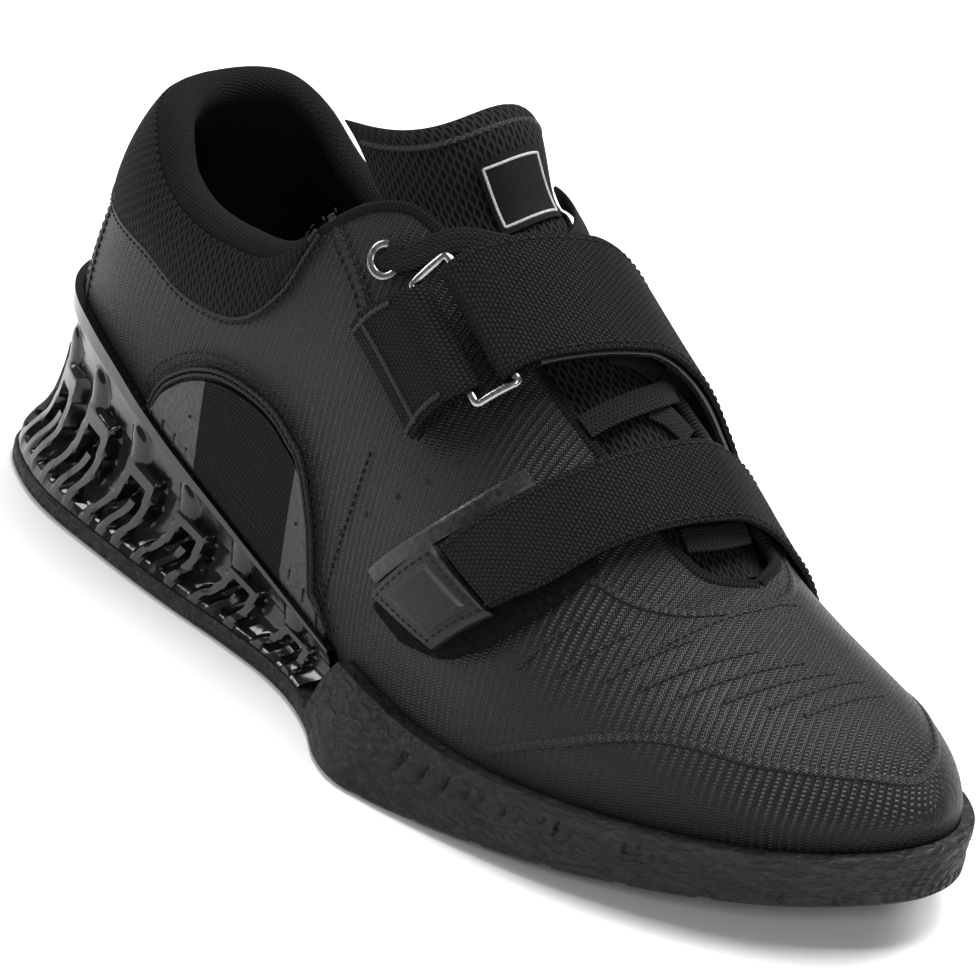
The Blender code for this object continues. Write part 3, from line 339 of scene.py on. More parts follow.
class Wire:
    """A number that runs through a node tree, so that the sums of a pattern can be written as sums."""

    def __init__(self, tree, socket):
        self.tree = tree
        self.socket = socket

    def do(self, operation, *others):
        made = self.tree.nodes.new("ShaderNodeMath")
        made.operation = operation
        for slot, value in zip(made.inputs, (self, *others)):
            if isinstance(value, Wire):
                self.tree.links.new(value.socket, slot)
            else:
                slot.default_value = value
        return Wire(self.tree, made.outputs[0])

    def __add__(self, other):
        return self.do("ADD", other)

    def __sub__(self, other):
        return self.do("SUBTRACT", other)

    def __mul__(self, other):
        return self.do("MULTIPLY", other)

    def __truediv__(self, other):
        return self.do("DIVIDE", other)

    def wave(self):
        """A hump of height one between whole numbers, zero on them."""
        centred = self.do("FRACT") * 2.0 - 1.0
        return centred * centred * -1.0 + 1.0

    def between(self, low, high):
        """0 under the low value, 1 over the high one."""
        made = self.tree.nodes.new("ShaderNodeMapRange")
        made.clamp = True
        made.interpolation_type = "SMOOTHSTEP"
        self.tree.links.new(self.socket, made.inputs["Value"])
        made.inputs["From Min"].default_value = low
        made.inputs["From Max"].default_value = high
        return Wire(self.tree, made.outputs["Result"])


def paint(name, colour, roughness, **others):
    """A material with one Principled surface. Returns the material, its tree and the surface."""
    material = bpy.data.materials.new(name)
    material.use_nodes = True
    tree = material.node_tree
    surface = tree.nodes["Principled BSDF"]
    surface.inputs["Base Color"].default_value = (*colour, 1.0)
    surface.inputs["Roughness"].default_value = roughness
    for label, value in others.items():
        surface.inputs[label.replace("_", " ").title().replace("Ior", "IOR")].default_value = value
    return material, tree, surface


def object_place(tree):
    """Object coordinates in metres."""
    return tree.nodes.new("ShaderNodeTexCoord").outputs["Object"]


def cloth_place(tree):
    """Metres along and across the cloth."""
    spot = tree.nodes.new("ShaderNodeUVMap")
    spot.uv_map = "metres"
    return spot.outputs[0]


def speckle(tree, place, scale, detail=2.0, distortion=0.0, stretch=(1.0, 1.0, 1.0)):
    """Noise from 0 to 1 at a scale per metre."""
    mapping = tree.nodes.new("ShaderNodeMapping")
    mapping.inputs["Scale"].default_value = stretch
    tree.links.new(place, mapping.inputs["Vector"])
    noise = tree.nodes.new("ShaderNodeTexNoise")
    noise.inputs["Scale"].default_value = scale
    noise.inputs["Detail"].default_value = detail
    noise.inputs["Distortion"].default_value = distortion
    tree.links.new(mapping.outputs[0], noise.inputs["Vector"])
    return Wire(tree, noise.outputs[0])


def raise_by(tree, surface, height, distance, under=None):
    """Bump of a height in metres on a surface, over another bump where there is one."""
    made = tree.nodes.new("ShaderNodeBump")
    made.inputs["Distance"].default_value = distance
    tree.links.new(height.socket, made.inputs["Height"])
    if under:
        tree.links.new(under.outputs[0], made.inputs["Normal"])
    tree.links.new(made.outputs[0], surface.inputs["Normal"])
    return made


def vary(tree, surface, label, mask, low, high):
    """A colour or a number of the surface that goes from low to high with a mask."""
    mix = tree.nodes.new("ShaderNodeMix")
    mix.data_type = "RGBA" if isinstance(low, tuple) else "FLOAT"
    first, second = (6, 7) if isinstance(low, tuple) else (2, 3)
    mix.inputs[first].default_value = (*low, 1.0) if isinstance(low, tuple) else low
    mix.inputs[second].default_value = (*high, 1.0) if isinstance(low, tuple) else high
    tree.links.new(mask.socket, mix.inputs[0])
    tree.links.new(mix.outputs[2 if isinstance(low, tuple) else 0], surface.inputs[label])


def new_group(name, numbers, outputs):
    """A shader node group with a place, named numbers and outputs. Returns it and its inputs."""
    tree = bpy.data.node_groups.new(name, "ShaderNodeTree")
    tree.interface.new_socket("Place", in_out="INPUT", socket_type="NodeSocketVector")
    for label in numbers:
        tree.interface.new_socket(label, in_out="INPUT", socket_type="NodeSocketFloat")
    for label in outputs:
        tree.interface.new_socket(label, in_out="OUTPUT", socket_type="NodeSocketFloat")
    source = tree.nodes.new("NodeGroupInput")
    apart = tree.nodes.new("ShaderNodeSeparateXYZ")
    tree.links.new(source.outputs["Place"], apart.inputs[0])
    wires = [Wire(tree, apart.outputs[k]) for k in range(2)]
    wires += [Wire(tree, source.outputs[n]) for n in numbers]
    return tree, wires


def end_group(tree, **results):
    """Joins a group's results to its outputs."""
    sink = tree.nodes.new("NodeGroupOutput")
    for label, wire in results.items():
        tree.links.new(wire.socket, sink.inputs[label])


def pattern(tree, group, place, **numbers):
    """A pattern group laid into a material. Returns its outputs as wires by name."""
    made = tree.nodes.new("ShaderNodeGroup")
    made.node_tree = group
    tree.links.new(place, made.inputs["Place"])
    for label, value in numbers.items():
        made.inputs[label].default_value = value
    return {socket.name: Wire(tree, socket) for socket in made.outputs}


WELD = 2e-6


def make_piece(name, points, faces, materials, metres=None, slots=None, sharp=40.0):
    """One object from points and faces, with places in metres on the cloth, and its faces turned
    outwards."""
    mesh = bpy.data.meshes.new(name)
    mesh.from_pydata(np.asarray(points, float).tolist(), [], [tuple(int(v) for v in f) for f in faces])
    for material in materials:
        mesh.materials.append(material)
    if slots is not None:
        mesh.polygons.foreach_set("material_index", np.asarray(slots, np.int32))
    if metres is not None:
        layer = mesh.uv_layers.new(name="metres")
        corner = np.empty(len(mesh.loops), np.int32)
        mesh.loops.foreach_get("vertex_index", corner)
        layer.data.foreach_set("uv", np.asarray(metres, float).reshape(-1, 2)[corner].ravel())
    shape = bmesh.new()
    shape.from_mesh(mesh)
    bmesh.ops.remove_doubles(shape, verts=shape.verts, dist=WELD)
    bmesh.ops.dissolve_degenerate(shape, edges=shape.edges, dist=WELD)
    bmesh.ops.recalc_face_normals(shape, faces=shape.faces)
    shape.to_mesh(mesh)
    shape.free()
    mesh.shade_smooth()
    mesh.set_sharp_from_angle(angle=math.radians(sharp))
    piece = bpy.data.objects.new(name, mesh)
    bpy.context.scene.collection.objects.link(piece)
    return piece


def mount(piece, slot, *nodes):
    """A finished piece rides with the shoe and may stand for nodes of the model. Its slot is not used."""
    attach(piece, "root")
    if nodes:
        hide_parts(*nodes)
    return piece


def stations(extra, base):
    """Station turns from heel to toe: an even set, and the given shares of the length in place of near
    ones."""
    fixed = sorted({0.0, 1.0, *(float(turn_of(a)) for a in extra)})
    apart = 0.45 / base
    even = [t for t in np.linspace(0, 1, base + 1) if min(abs(t - f) for f in fixed) > apart]
    return np.array(sorted(fixed + even))


def loop_of(turns):
    """Sides and turns once round the shoe: forward on the lateral side and back on the medial."""
    sides = [LATERAL] * len(turns) + [MEDIAL] * (len(turns) - 2)
    return sides, [*turns, *turns[-2:0:-1]]


def cup_rim(turn):
    """Height of the outsole's rim round the forefoot."""
    return CUP_RIM_HEIGHT + 0.55 * toe_lift(turn)


def loft_faces(count, around, last):
    """Faces of a closed form from rows of points round the shoe, with its first and last rows filled
    across."""
    faces = []
    for k in range(count - 1):
        for i in range(around):
            j = (i + 1) % around
            faces.append((k * around + i, k * around + j, (k + 1) * around + j, (k + 1) * around + i))
    for k in (0, count - 1):
        for i in range(last):
            a, b = k * around + i, k * around + i + 1
            c, d = k * around + (around - i - 1) % around, k * around + (around - i) % around
            faces.append((a, b, c, d) if b != c and a != d else ((a, b, d) if b == c else (a, b, c)))
    return faces


def sole_layers(side, turn, grooves, arc):
    """Points of the outsole at one station, from its underside round its side to its bed."""
    along = float(along_of(turn))
    x, y = sole_edge(side, turn)
    lift = float(toe_lift(turn))
    cut = TREAD_DEPTH if any(abs(along - g) < TREAD_GROOVE_WIDTH / 4 for g in grooves) else 0.0
    edge = np.array([float(x), float(y), lift])
    inward = inward_of(side, turn)
    points = [edge + inward * EDGE_ROUND + [0, 0, cut], edge + [0, 0, max(EDGE_ROUND, cut)]]
    if along >= STEP_END - 1e-6:
        low = across_at(side, turn, float(bed_height(turn)))
        rim = across_at(side, turn, float(cup_rim(turn)))
        outer = on_upper(turn, rim, CUP_WALL_THICKNESS + CLEARANCE)
        inner = on_upper(turn, rim, CLEARANCE)
        inner[2] = outer[2] = float(cup_rim(turn))
        knee = edge + (outer - edge) * [0.22, 0.22, 0.5]
        tail = [outer, inner, on_upper(turn, (low + rim) / 2, 2.0 * CLEARANCE)]
        bottom = on_upper(turn, low, 2.2 * CLEARANCE)
        bottom[2] = float(bed_height(turn)) - CLEARANCE
        tail.append(bottom)
        wall = 1.0
    else:
        top = np.array([0, 0, OUTSOLE_HEEL_THICKNESS - lift])
        knee = edge + [0, 0, (EDGE_ROUND + OUTSOLE_HEEL_THICKNESS) / 2]
        tail = [edge + inward * STRIP_ROUND * inset + top for inset in (1.0, 3.0, 5.0, 7.0)]
        wall = 0.0
    start, end = points[1], tail[0]
    share = np.linspace(0.0, 1.0, SIDE_LAYERS + 1)[1:-1, None]
    curve = start * (1 - share) ** 2 + 2 * knee * share * (1 - share) * 1.0 + end * share**2
    curve = curve + (2 * share * (1 - share)) * (knee - (start + end) / 2) * 0.35
    s = share[:, 0]
    wrinkle = np.sin(arc * 900 + 9 * np.sin(arc * 130) + 7 * s) * np.sin(s * 21 + 3 * np.sin(arc * 210))
    relief = WRINKLE_DEPTH * wrinkle * wall * np.sin(math.pi * s)
    toeward = step(0.55, 0.62, along) * (1 - step(0.84, 0.90, along))
    dash = np.clip(1 - abs((arc / DASH_PITCH) % 1.0 - 0.5) * DASH_PITCH / (DASH_WIDTH / 2), 0, 1)
    relief = relief - DASH_DEPTH * dash * toeward * (step(0.50, 0.60, s) - step(0.74, 0.84, s))
    notch = abs(math.sin(math.pi * arc / NOTCH_PITCH)) < 0.35
    relief = relief - NOTCH_DEPTH * notch * (1 - step(0.22, 0.30, s)) * (1 - toeward)
    bead = 0.00035 * np.exp(-(((s - 0.86) / 0.07) ** 2))
    curve = curve - inward * (relief + bead)[:, None]
    return [points[0], points[1], *curve, *tail]


sole_grooves = [TREAD_START + k * TREAD_PITCH for k in range(TREAD_COUNT)]
sole_turns = stations([BLOCK_END, STEP_START, STEP_END, *sole_grooves], SOLE_STATIONS)
sole_sides, sole_around = loop_of(sole_turns)
sole_plan = np.array([sole_edge(side, turn) for side, turn in zip(sole_sides, sole_around)], float)
sole_arc = np.concatenate([[0.0], np.cumsum(np.linalg.norm(np.diff(sole_plan, axis=0), axis=1))])
sole_spots = zip(sole_sides, sole_around, [sole_grooves] * len(sole_arc), sole_arc)
sole_rows = np.array([sole_layers(*spot) for spot in sole_spots]).transpose(1, 0, 2)
rubber, tree, surface = paint("outsole_rubber", (0.008, 0.008, 0.0085), 0.6, specular_ior_level=0.25)
grit = speckle(tree, object_place(tree), 900.0, 4.0)
folds = speckle(tree, object_place(tree), 260.0, 2.0, 0.9, (0.75, 0.75, 1.9))
vary(tree, surface, "Base Color", folds.between(0.3, 0.75), (0.00605, 0.00605, 0.0066), (0.0143, 0.01458, 0.0154))
vary(tree, surface, "Roughness", grit.between(0.3, 0.7), 0.48, 0.72)
raise_by(tree, surface, grit, 0.00015, raise_by(tree, surface, folds, 0.0016))
outsole_cup = make_piece("outsole_cup", sole_rows.reshape(-1, 3),
                         loft_faces(sole_rows.shape[0], sole_rows.shape[1], len(sole_turns) - 1), [rubber])
mount(outsole_cup, "rubber", "outsole")

# Heel block: glossy black moulded plastic. A cup holds the heel, and upright frames with keyhole tabs over
# them stand out of its hollowed side; it narrows to a tip at the waist.
HEEL_BLOCK_HEIGHT = 0.056
HEEL_CUP_THICKNESS = 0.0022
BLOCK_INSET = 0.0012
FRAME_COUNT = 7
FRAME_CROWDING = 0.93
FRAME_HALF_WIDTH = 0.0086
FRAME_LEG = 0.0036
FRAME_NECK = 0.0030
FRAME_DEPTH = 0.0042
FRAME_FOOT = 0.07
FRAME_BAR = 0.50
FRAME_TOP = 0.62
FRAME_LIP = 0.90
# Top edge of the heel block as shares of HEEL_BLOCK_HEIGHT
BLOCK_EDGE = (
    ("along", "lateral", "medial"),
    (0.000, 0.950, 0.950),
    (0.060, 0.960, 0.960),
    (0.100, 0.935, 0.935),
    (0.150, 0.860, 0.860),
    (0.200, 0.755, 0.755),
    (0.250, 0.655, 0.655),
    (0.310, 0.550, 0.550),
    (0.370, 0.450, 0.450),
    (0.430, 0.365, 0.365),
    (0.490, 0.300, 0.300),
)
# Side of the heel block: heights as shares of its own, how far in each lies from its foot to its crown, and
# how deep the ground between the frames is sunk there as a share of FRAME_DEPTH
BLOCK_PROFILE = (
    ("height", "plan", "sunk"),
    (0.00, 0.00, 0.0),
    (0.07, 0.06, 0.5),
    (0.28, 0.62, 1.0),
    (0.50, 0.90, 0.9),
    (0.90, 1.00, 0.3),
    (1.00, 1.00, 0.0),
)
BLOCK_PITCH = 0.0006
BLOCK_LAYERS = 66
TAB_PLACE, TAB_RADIUS, TAB_SHIFT = 0.74, 0.0040, 0.0042
SOFT_EDGE = 0.0007


def block_top(side, turn):
    """Height of the heel block's top edge."""
    return HEEL_BLOCK_HEIGHT * float(read(BLOCK_EDGE, side_name(side), turn))


def frame_places():
    """Arc length from the block's front end to its back along the lateral outline, and the places of its
    frames."""
    turns = np.linspace(float(turn_of(BLOCK_END)), 0.0, 600)
    x, y = sole_edge(LATERAL, turns)
    arc = np.concatenate([[0.0], np.cumsum(np.hypot(np.diff(x), np.diff(y)))])
    share = (np.arange(FRAME_COUNT + 1) + 0.5) / (FRAME_COUNT + 0.5)
    return turns, arc, arc[-1] * share**FRAME_CROWDING


def over(edge, value, soft):
    """0 below an edge and 1 above it, with a soft change."""
    return step(edge - soft / 2, edge + soft / 2, value)


def block_relief(apart, past, high, tall):
    """How far the block stands out, from 0 to 1, by the distance from a frame's middle and the height
    shares."""
    apart = abs(apart)
    soft_high = SOFT_EDGE / tall
    half = FRAME_HALF_WIDTH * (1.0 - 0.28 * np.clip(high / FRAME_TOP, 0, 1))
    inside = 1 - over(half, apart, SOFT_EDGE)
    below_top = 1 - over(FRAME_TOP, high, soft_high)
    legs = inside * over(half - FRAME_LEG, apart, SOFT_EDGE) * below_top
    bar = inside * over(FRAME_BAR, high, soft_high) * below_top
    pillar = 0.75 * (1 - over(FRAME_NECK * 0.6, apart, SOFT_EDGE))
    pillar = pillar * (1 - over(FRAME_BAR * 0.7, high, soft_high))
    reach = np.hypot(past, np.clip(high - TAB_PLACE, 0, None) * tall) / TAB_RADIUS
    tab = np.sqrt(np.clip(1 - reach**2, 0, 1)) * over(FRAME_TOP * 0.98, high, soft_high)
    ground = 0.25 * over(FRAME_TOP, high, soft_high)
    foot = 0.55 * (1 - over(FRAME_FOOT, high, soft_high))
    lip = over(FRAME_LIP, high, soft_high)
    return np.maximum.reduce([legs, bar, pillar, tab * 0.95, ground, foot, lip])


fine, arc, centres = frame_places()
spots = np.arange(0.0, arc[-1], BLOCK_PITCH)
lateral = np.interp(spots, arc, fine)
block_sides = [LATERAL] * (len(lateral) + 1) + [MEDIAL] * len(lateral)
block_turns = [*lateral, 0.0, *lateral[::-1]]
block_spots = [*spots, arc[-1], *spots[::-1]]
profile = np.array(BLOCK_PROFILE[1:], float)
shares = np.linspace(0.0, 1.0, BLOCK_LAYERS)
plan = smooth(profile[:, 0], profile[:, 1], shares)
sunk = smooth(profile[:, 0], profile[:, 2], shares)
columns = []
for side, turn, spot in zip(block_sides, block_turns, block_spots):
    x, y = sole_edge(side, turn)
    inward = inward_of(side, turn)
    foot = np.array([float(x), float(y), OUTSOLE_HEEL_THICKNESS + CLEARANCE]) + inward * BLOCK_INSET
    top = max(block_top(side, turn), float(bed_height(turn)) + 0.001)
    rim = float(across_at(side, turn, top))
    crown = on_upper(turn, rim, CLEARANCE + HEEL_CUP_THICKNESS)
    crown[2] = top
    nearest = min(centres, key=lambda centre: abs(spot - centre))
    apart = spot - nearest
    past = min(abs(spot - centre - TAB_SHIFT) for centre in centres)
    tall = max(top - foot[2], 0.004)
    depth = FRAME_DEPTH * sunk * (1.0 - block_relief(apart, past, shares, tall)) * min(1.0, tall / 0.025)
    place = foot + (crown - foot) * np.stack([plan, plan, shares], 1) + inward * depth[:, None]
    inside = []
    for k, across in enumerate(np.linspace(rim, side * 2.0, 7)):
        spot_inside = on_upper(turn, across, CLEARANCE + (0.0001 if k in (0, 6) else 0.0005))
        if k == 0:
            spot_inside[2] = top
        if k == 6:
            spot_inside[2] = float(bed_height(turn)) - CLEARANCE
        inside.append(spot_inside)
    columns.append([*place, *inside])
block = np.array(columns).transpose(1, 0, 2)
count, around = block.shape[:2]
faces = []
for k in range(count - 1):
    for i in range(around - 1):
        faces.append((k * around + i, k * around + i + 1, (k + 1) * around + i + 1, (k + 1) * around + i))
for k in (0, count - 1):
    for i in range(around // 2):
        a, b = k * around + i, k * around + i + 1
        c, d = k * around + around - 2 - i, k * around + around - 1 - i
        faces.append((a, b, c, d) if b != c else (a, b, d))
faces.append(tuple([k * around for k in range(count)]
                   + [k * around + around - 1 for k in range(count - 1, -1, -1)]))
gloss, tree, surface = paint("moulded_gloss", (0.004, 0.004, 0.0045), 0.14)
smear = speckle(tree, object_place(tree), 60.0, 5.0, 0.6)
vary(tree, surface, "Roughness", smear.between(0.35, 0.7), 0.10, 0.24)
raise_by(tree, surface, speckle(tree, object_place(tree), 240.0, 2.0), 0.00012)
heel_moulding = make_piece("heel_moulding", block.reshape(-1, 3), faces, [gloss], sharp=50.0)
mount(heel_moulding, "moulded_plastic", "heel_block")

# Insole: a thin foam bed covered with fine black knit. It keeps its solid and gets its cloth.
knit_cover, tree, surface = paint("insole_knit", (0.015, 0.015, 0.016), 0.92, specular_ior_level=0.1)
loops = speckle(tree, object_place(tree), 1400.0, 1.0)
vary(tree, surface, "Base Color", loops.between(0.3, 0.7), (0.00165, 0.00165, 0.00165),
     (0.0077, 0.0077, 0.00825))
raise_by(tree, surface, loops, 0.0003)
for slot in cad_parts["insole"].material_slots:
    slot.material = knit_cover

# Upper: one shell of coated herringbone twill over the last, open at the collar, the throat and underneath,
# with padding in its collar. Its inside and the rolled collar edge are lined with fine dotted textile.
UPPER_WALL = 0.0022
COLLAR_WALL = 0.0090
COLLAR_PUFF = 0.0004
# Top edge of the upper as a share of COLLAR_HEIGHT round the ankle, and past the last row the throat's edge
COLLAR_EDGE = (
    ("along", "lateral", "medial"),
    (0.000, 1.000, 1.000),
    (0.045, 0.995, 0.990),
    (0.100, 0.958, 0.918),
    (0.160, 0.902, 0.822),
    (0.220, 0.868, 0.762),
    (0.270, 0.865, 0.750),
    (0.330, 0.903, 0.800),
    (0.362, 0.985, 0.860),
    (0.397, 1.068, 0.935),
    (0.430, 1.094, 1.000),
    (0.462, 1.068, 1.025),
)
# Throat: distance of its edges from the ridge, as shares of BALL_WIDTH
THROAT_EDGE = (
    ("along", "lateral", "medial"),
    (0.462, 0.215, 0.175),
    (0.520, 0.212, 0.145),
    (0.600, 0.205, 0.100),
    (0.680, 0.180, 0.095),
    (0.735, 0.140, 0.115),
    (0.765, 0.080, 0.085),
    (0.778, 0.000, 0.000),
)
LOW_ROWS, HIGH_ROWS, RIM_ROWS = 12, 62, 7
SHELL_STATIONS = 330


def top_edge(side, turn):
    """How far up the arch the upper is cut, from the collar's height or the throat's distance to the
    ridge."""
    turn = np.asarray(turn, float)
    width, ridge, ridge_side, fullness, widest = section(side, turn)
    height = COLLAR_HEIGHT * read(COLLAR_EDGE, side_name(side), turn)
    share = np.clip((height - widest) / (ridge - widest), 0.0, 1.0)
    collar = np.arcsin(np.clip(share ** (fullness / 2), 0, 1)) * 2 / math.pi
    apart = BALL_WIDTH * read(THROAT_EDGE, side_name(side), turn)
    reach = np.clip(apart / np.abs(width - ridge_side).clip(1e-6), 0.0, 1.0)
    throat = np.arccos(np.clip(reach ** (fullness / 2), 0, 1)) * 2 / math.pi
    return np.where(along_of(turn) < COLLAR_EDGE[-1][0], collar, throat)


def collar_share(turn):
    """1 round the padded collar, falling to 0 at the eyestays."""
    return 1.0 - step(0.30, 0.43, along_of(turn))


def shell_rows(side, turn):
    """Outer points, rim points and inner points of the upper's wall at one station, from the lower edge
    round."""
    top = float(top_edge(side, turn))
    padded = float(collar_share(turn))
    lows = np.linspace(2.0, 1.0, LOW_ROWS + 1)[:-1]
    across = np.concatenate([lows, 1.0 - top * np.linspace(0.0, 1.0, HIGH_ROWS + 1)]) * side
    rise = np.clip((1.0 - np.abs(across)) / top, 0.0, 1.0)
    puff = COLLAR_PUFF * padded * step(0.35, 0.8, rise)
    wall = UPPER_WALL + (COLLAR_WALL - UPPER_WALL) * padded * step(0.2, 0.85, rise)
    turns = np.full(len(across), turn)
    normal = on_upper(turns, across, 1.0) - on_upper(turns, across, 0.0)
    outer = on_upper(turns, across, 0.0) + normal * puff[:, None]
    inner = on_upper(turns, across, 0.0) - normal * wall[:, None]
    middle, out = (outer[-1] + inner[-1]) / 2, (outer[-1] - inner[-1]) / 2
    climb = outer[-1] - outer[-2]
    climb = climb / np.linalg.norm(climb) * np.linalg.norm(out) * padded
    rim = [middle + math.cos(a) * out + math.sin(a) * climb
           for a in np.linspace(0, math.pi, RIM_ROWS + 2)[1:-1]]
    return np.concatenate([outer, rim, inner[::-1]])


shell_turns = stations([BLOCK_END, STEP_END, THROAT_EDGE[-1][0], *(row[0] for row in COLLAR_EDGE[-4:])],
                       SHELL_STATIONS)
shell_closed = [float(top_edge(LATERAL, t)) > 1 - 1e-6 for t in shell_turns]
outer_count = LOW_ROWS + HIGH_ROWS + 1
middle = int(np.argmin(abs(along_of(shell_turns) - 0.5)))
points, faces, metres, slots = [], [], [], []
for side in (LATERAL, MEDIAL):
    grid = np.array([shell_rows(side, t) for t in shell_turns])
    stride = np.linalg.norm(np.diff(grid, axis=0), axis=-1)
    length = np.concatenate([np.zeros((1, grid.shape[1])), np.cumsum(stride, axis=0)])
    length = length - length[middle]
    rise = np.concatenate([np.zeros((len(grid), 1)),
                           np.cumsum(np.linalg.norm(np.diff(grid, axis=1), axis=-1), axis=1)], 1)
    ridge_length = []
    for turn in shell_turns:
        arch = on_upper(np.full(60, turn), side * np.linspace(2.0, 0.0, 60))
        ridge_length.append(np.linalg.norm(np.diff(arch, axis=0), axis=1).sum())
    rise = (rise - np.array(ridge_length)[:, None]) * -side
    start, count = len(points), grid.shape[1]
    points.extend(grid.reshape(-1, 3))
    metres.extend(np.stack([length, rise], -1).reshape(-1, 2))
    for i in range(len(shell_turns) - 1):
        for k in range(count):
            if shell_closed[i] and shell_closed[i + 1] and outer_count - 1 <= k < outer_count + RIM_ROWS:
                continue
            m = (k + 1) % count
            a, b = start + i * count + k, start + i * count + m
            c, d = start + (i + 1) * count + m, start + (i + 1) * count + k
            faces.append((a, b, c, d) if side < 0 else (d, c, b, a))
            slots.append(0 if k < outer_count - 1 else 1)

tree, (x, y, column, rib) = new_group("herringbone", ["Column", "Rib"], ["Height", "Shade"])
stripe = x / column
lean = stripe.do("FLOOR").do("MODULO", 2.0).do("ABSOLUTE") * 2.0 - 1.0
cord_wave = (y / rib + stripe * lean).wave()
valley = stripe.wave().do("POWER", 0.35)
# Shade is painted light: lighter on the cords' ridges and the middles of the columns, a painted highlight, and
# darker between them, painted shade.
end_group(tree, Height=cord_wave * valley, Shade=cord_wave * 0.6 + valley * 0.4)
herringbone = tree
twill, tree, surface = paint("shell_twill", (0.020, 0.020, 0.022), 0.42, specular_ior_level=0.22)
weave = pattern(tree, herringbone, cloth_place(tree), Column=0.00105, Rib=0.0008)
wear = speckle(tree, object_place(tree), 35.0, 4.0)
# The twill's colour follows Shade, a painted highlight on its ridges and painted shade in its valleys, with large
# random blotches of tone over it.
vary(tree, surface, "Base Color", weave["Shade"] * 0.8 + wear * 0.25, (0.00165, 0.00165, 0.001925),
     (0.01155, 0.01155, 0.01265))
vary(tree, surface, "Roughness", weave["Shade"], 0.58, 0.34)
raise_by(tree, surface, weave["Height"], 0.00022)

tree, (x, y, wide, tall, shift) = new_group("lumps", ["Wide", "Tall", "Shift"], ["Height"])
line = y / tall
lump = (x / wide + line.do("FLOOR") * shift).wave() * line.wave()
end_group(tree, Height=lump.do("POWER", 0.6))
lumps = tree
lining, tree, surface = paint("dotted_lining", (0.018, 0.018, 0.020), 0.85, specular_ior_level=0.1)
dots = pattern(tree, lumps, cloth_place(tree), Wide=0.0009, Tall=0.0009, Shift=0.5)
# Darker between the raised dots and lighter on them: painted shade in the hollows of the textile.
vary(tree, surface, "Base Color", dots["Height"], (0.0011, 0.0011, 0.0011), (0.00935, 0.00935, 0.0099))
raise_by(tree, surface, dots["Height"], 0.00025)
upper_shell = make_piece("upper_shell", points, faces, [twill, lining], metres, slots, sharp=60.0)
mount(upper_shell, "shell_fabric", "upper")

# Collar panel: padded air mesh over the ankle, sewn to the twill by a doubled welt, from eyestay to eyestay
# round the heel. Its holes stand in columns, each column half a hole higher than the next.
PANEL_LOW_EDGE = (
    ("along", "across"),
    (0.000, 0.800),
    (0.058, 0.816),
    (0.156, 0.822),
    (0.234, 0.830),
    (0.300, 0.787),
    (0.340, 0.697),
    (0.355, 0.610),
    (0.362, 0.560),
)
PANEL_OUT = 0.0005
PANEL_BULGE = 0.0012


def metres_of(grid):
    """Metres along both directions of a grid, from its middle."""
    down = np.linalg.norm(np.diff(grid, axis=0), axis=-1).mean(axis=1)
    wide = np.linalg.norm(np.diff(grid, axis=1), axis=-1).mean(axis=0)
    u = np.concatenate([[0.0], np.cumsum(down)])
    v = np.concatenate([[0.0], np.cumsum(wide)])
    return np.stack(np.meshgrid(u, v - v[-1] / 2, indexing="ij"), -1)


def sheet_piece(name, outer, inner, materials, metres=None, slots=None, sharp=40.0):
    """A closed sheet from the grids of its two faces."""
    rows, columns = outer.shape[:2]
    total = rows * columns
    index = np.arange(total).reshape(rows, columns)
    metres = metres_of(outer) if metres is None else metres
    faces, face_slots = [], []
    for i in range(rows - 1):
        for j in range(columns - 1):
            a, b, c, d = index[i, j], index[i + 1, j], index[i + 1, j + 1], index[i, j + 1]
            faces += [(a, b, c, d), (total + d, total + c, total + b, total + a)]
            face_slots += [0 if slots is None else slots(i, j)] * 2
    border = [*index[:, 0], *index[-1, 1:], *index[-2::-1, -1], *index[0, -2:0:-1]]
    for a, b in zip(border, border[1:] + border[:1]):
        faces.append((b, a, total + a, total + b))
        face_slots.append(0 if slots is None else slots(min(a // columns, rows - 2), 0))
    both = np.concatenate([outer.reshape(-1, 3), inner.reshape(-1, 3)])
    return make_piece(name, both, faces, materials, np.concatenate([metres.reshape(-1, 2)] * 2),
                      face_slots, sharp=sharp)


tree, (x, y, column, row) = new_group("air_holes", ["Column", "Row"], ["Hole", "Height"])
stripe = x / column
off_middle = (stripe.do("FRACT") * 2.0 - 1.0).do("ABSOLUTE")
off_level = ((y / row + stripe.do("FLOOR") * 0.5).do("FRACT") * 2.0 - 1.0).do("ABSOLUTE")
reach = off_middle * 0.95 + off_level * 0.85
end_group(tree, Hole=reach.between(0.82, 0.62), Height=reach.between(0.45, 1.0))
air_holes = tree
air_mesh, tree, surface = paint("air_mesh", (0.016, 0.016, 0.017), 0.80, specular_ior_level=0.1)
net = pattern(tree, air_holes, cloth_place(tree), Column=0.00125, Row=0.0034)
yarn = speckle(tree, object_place(tree), 1500.0, 2.0)
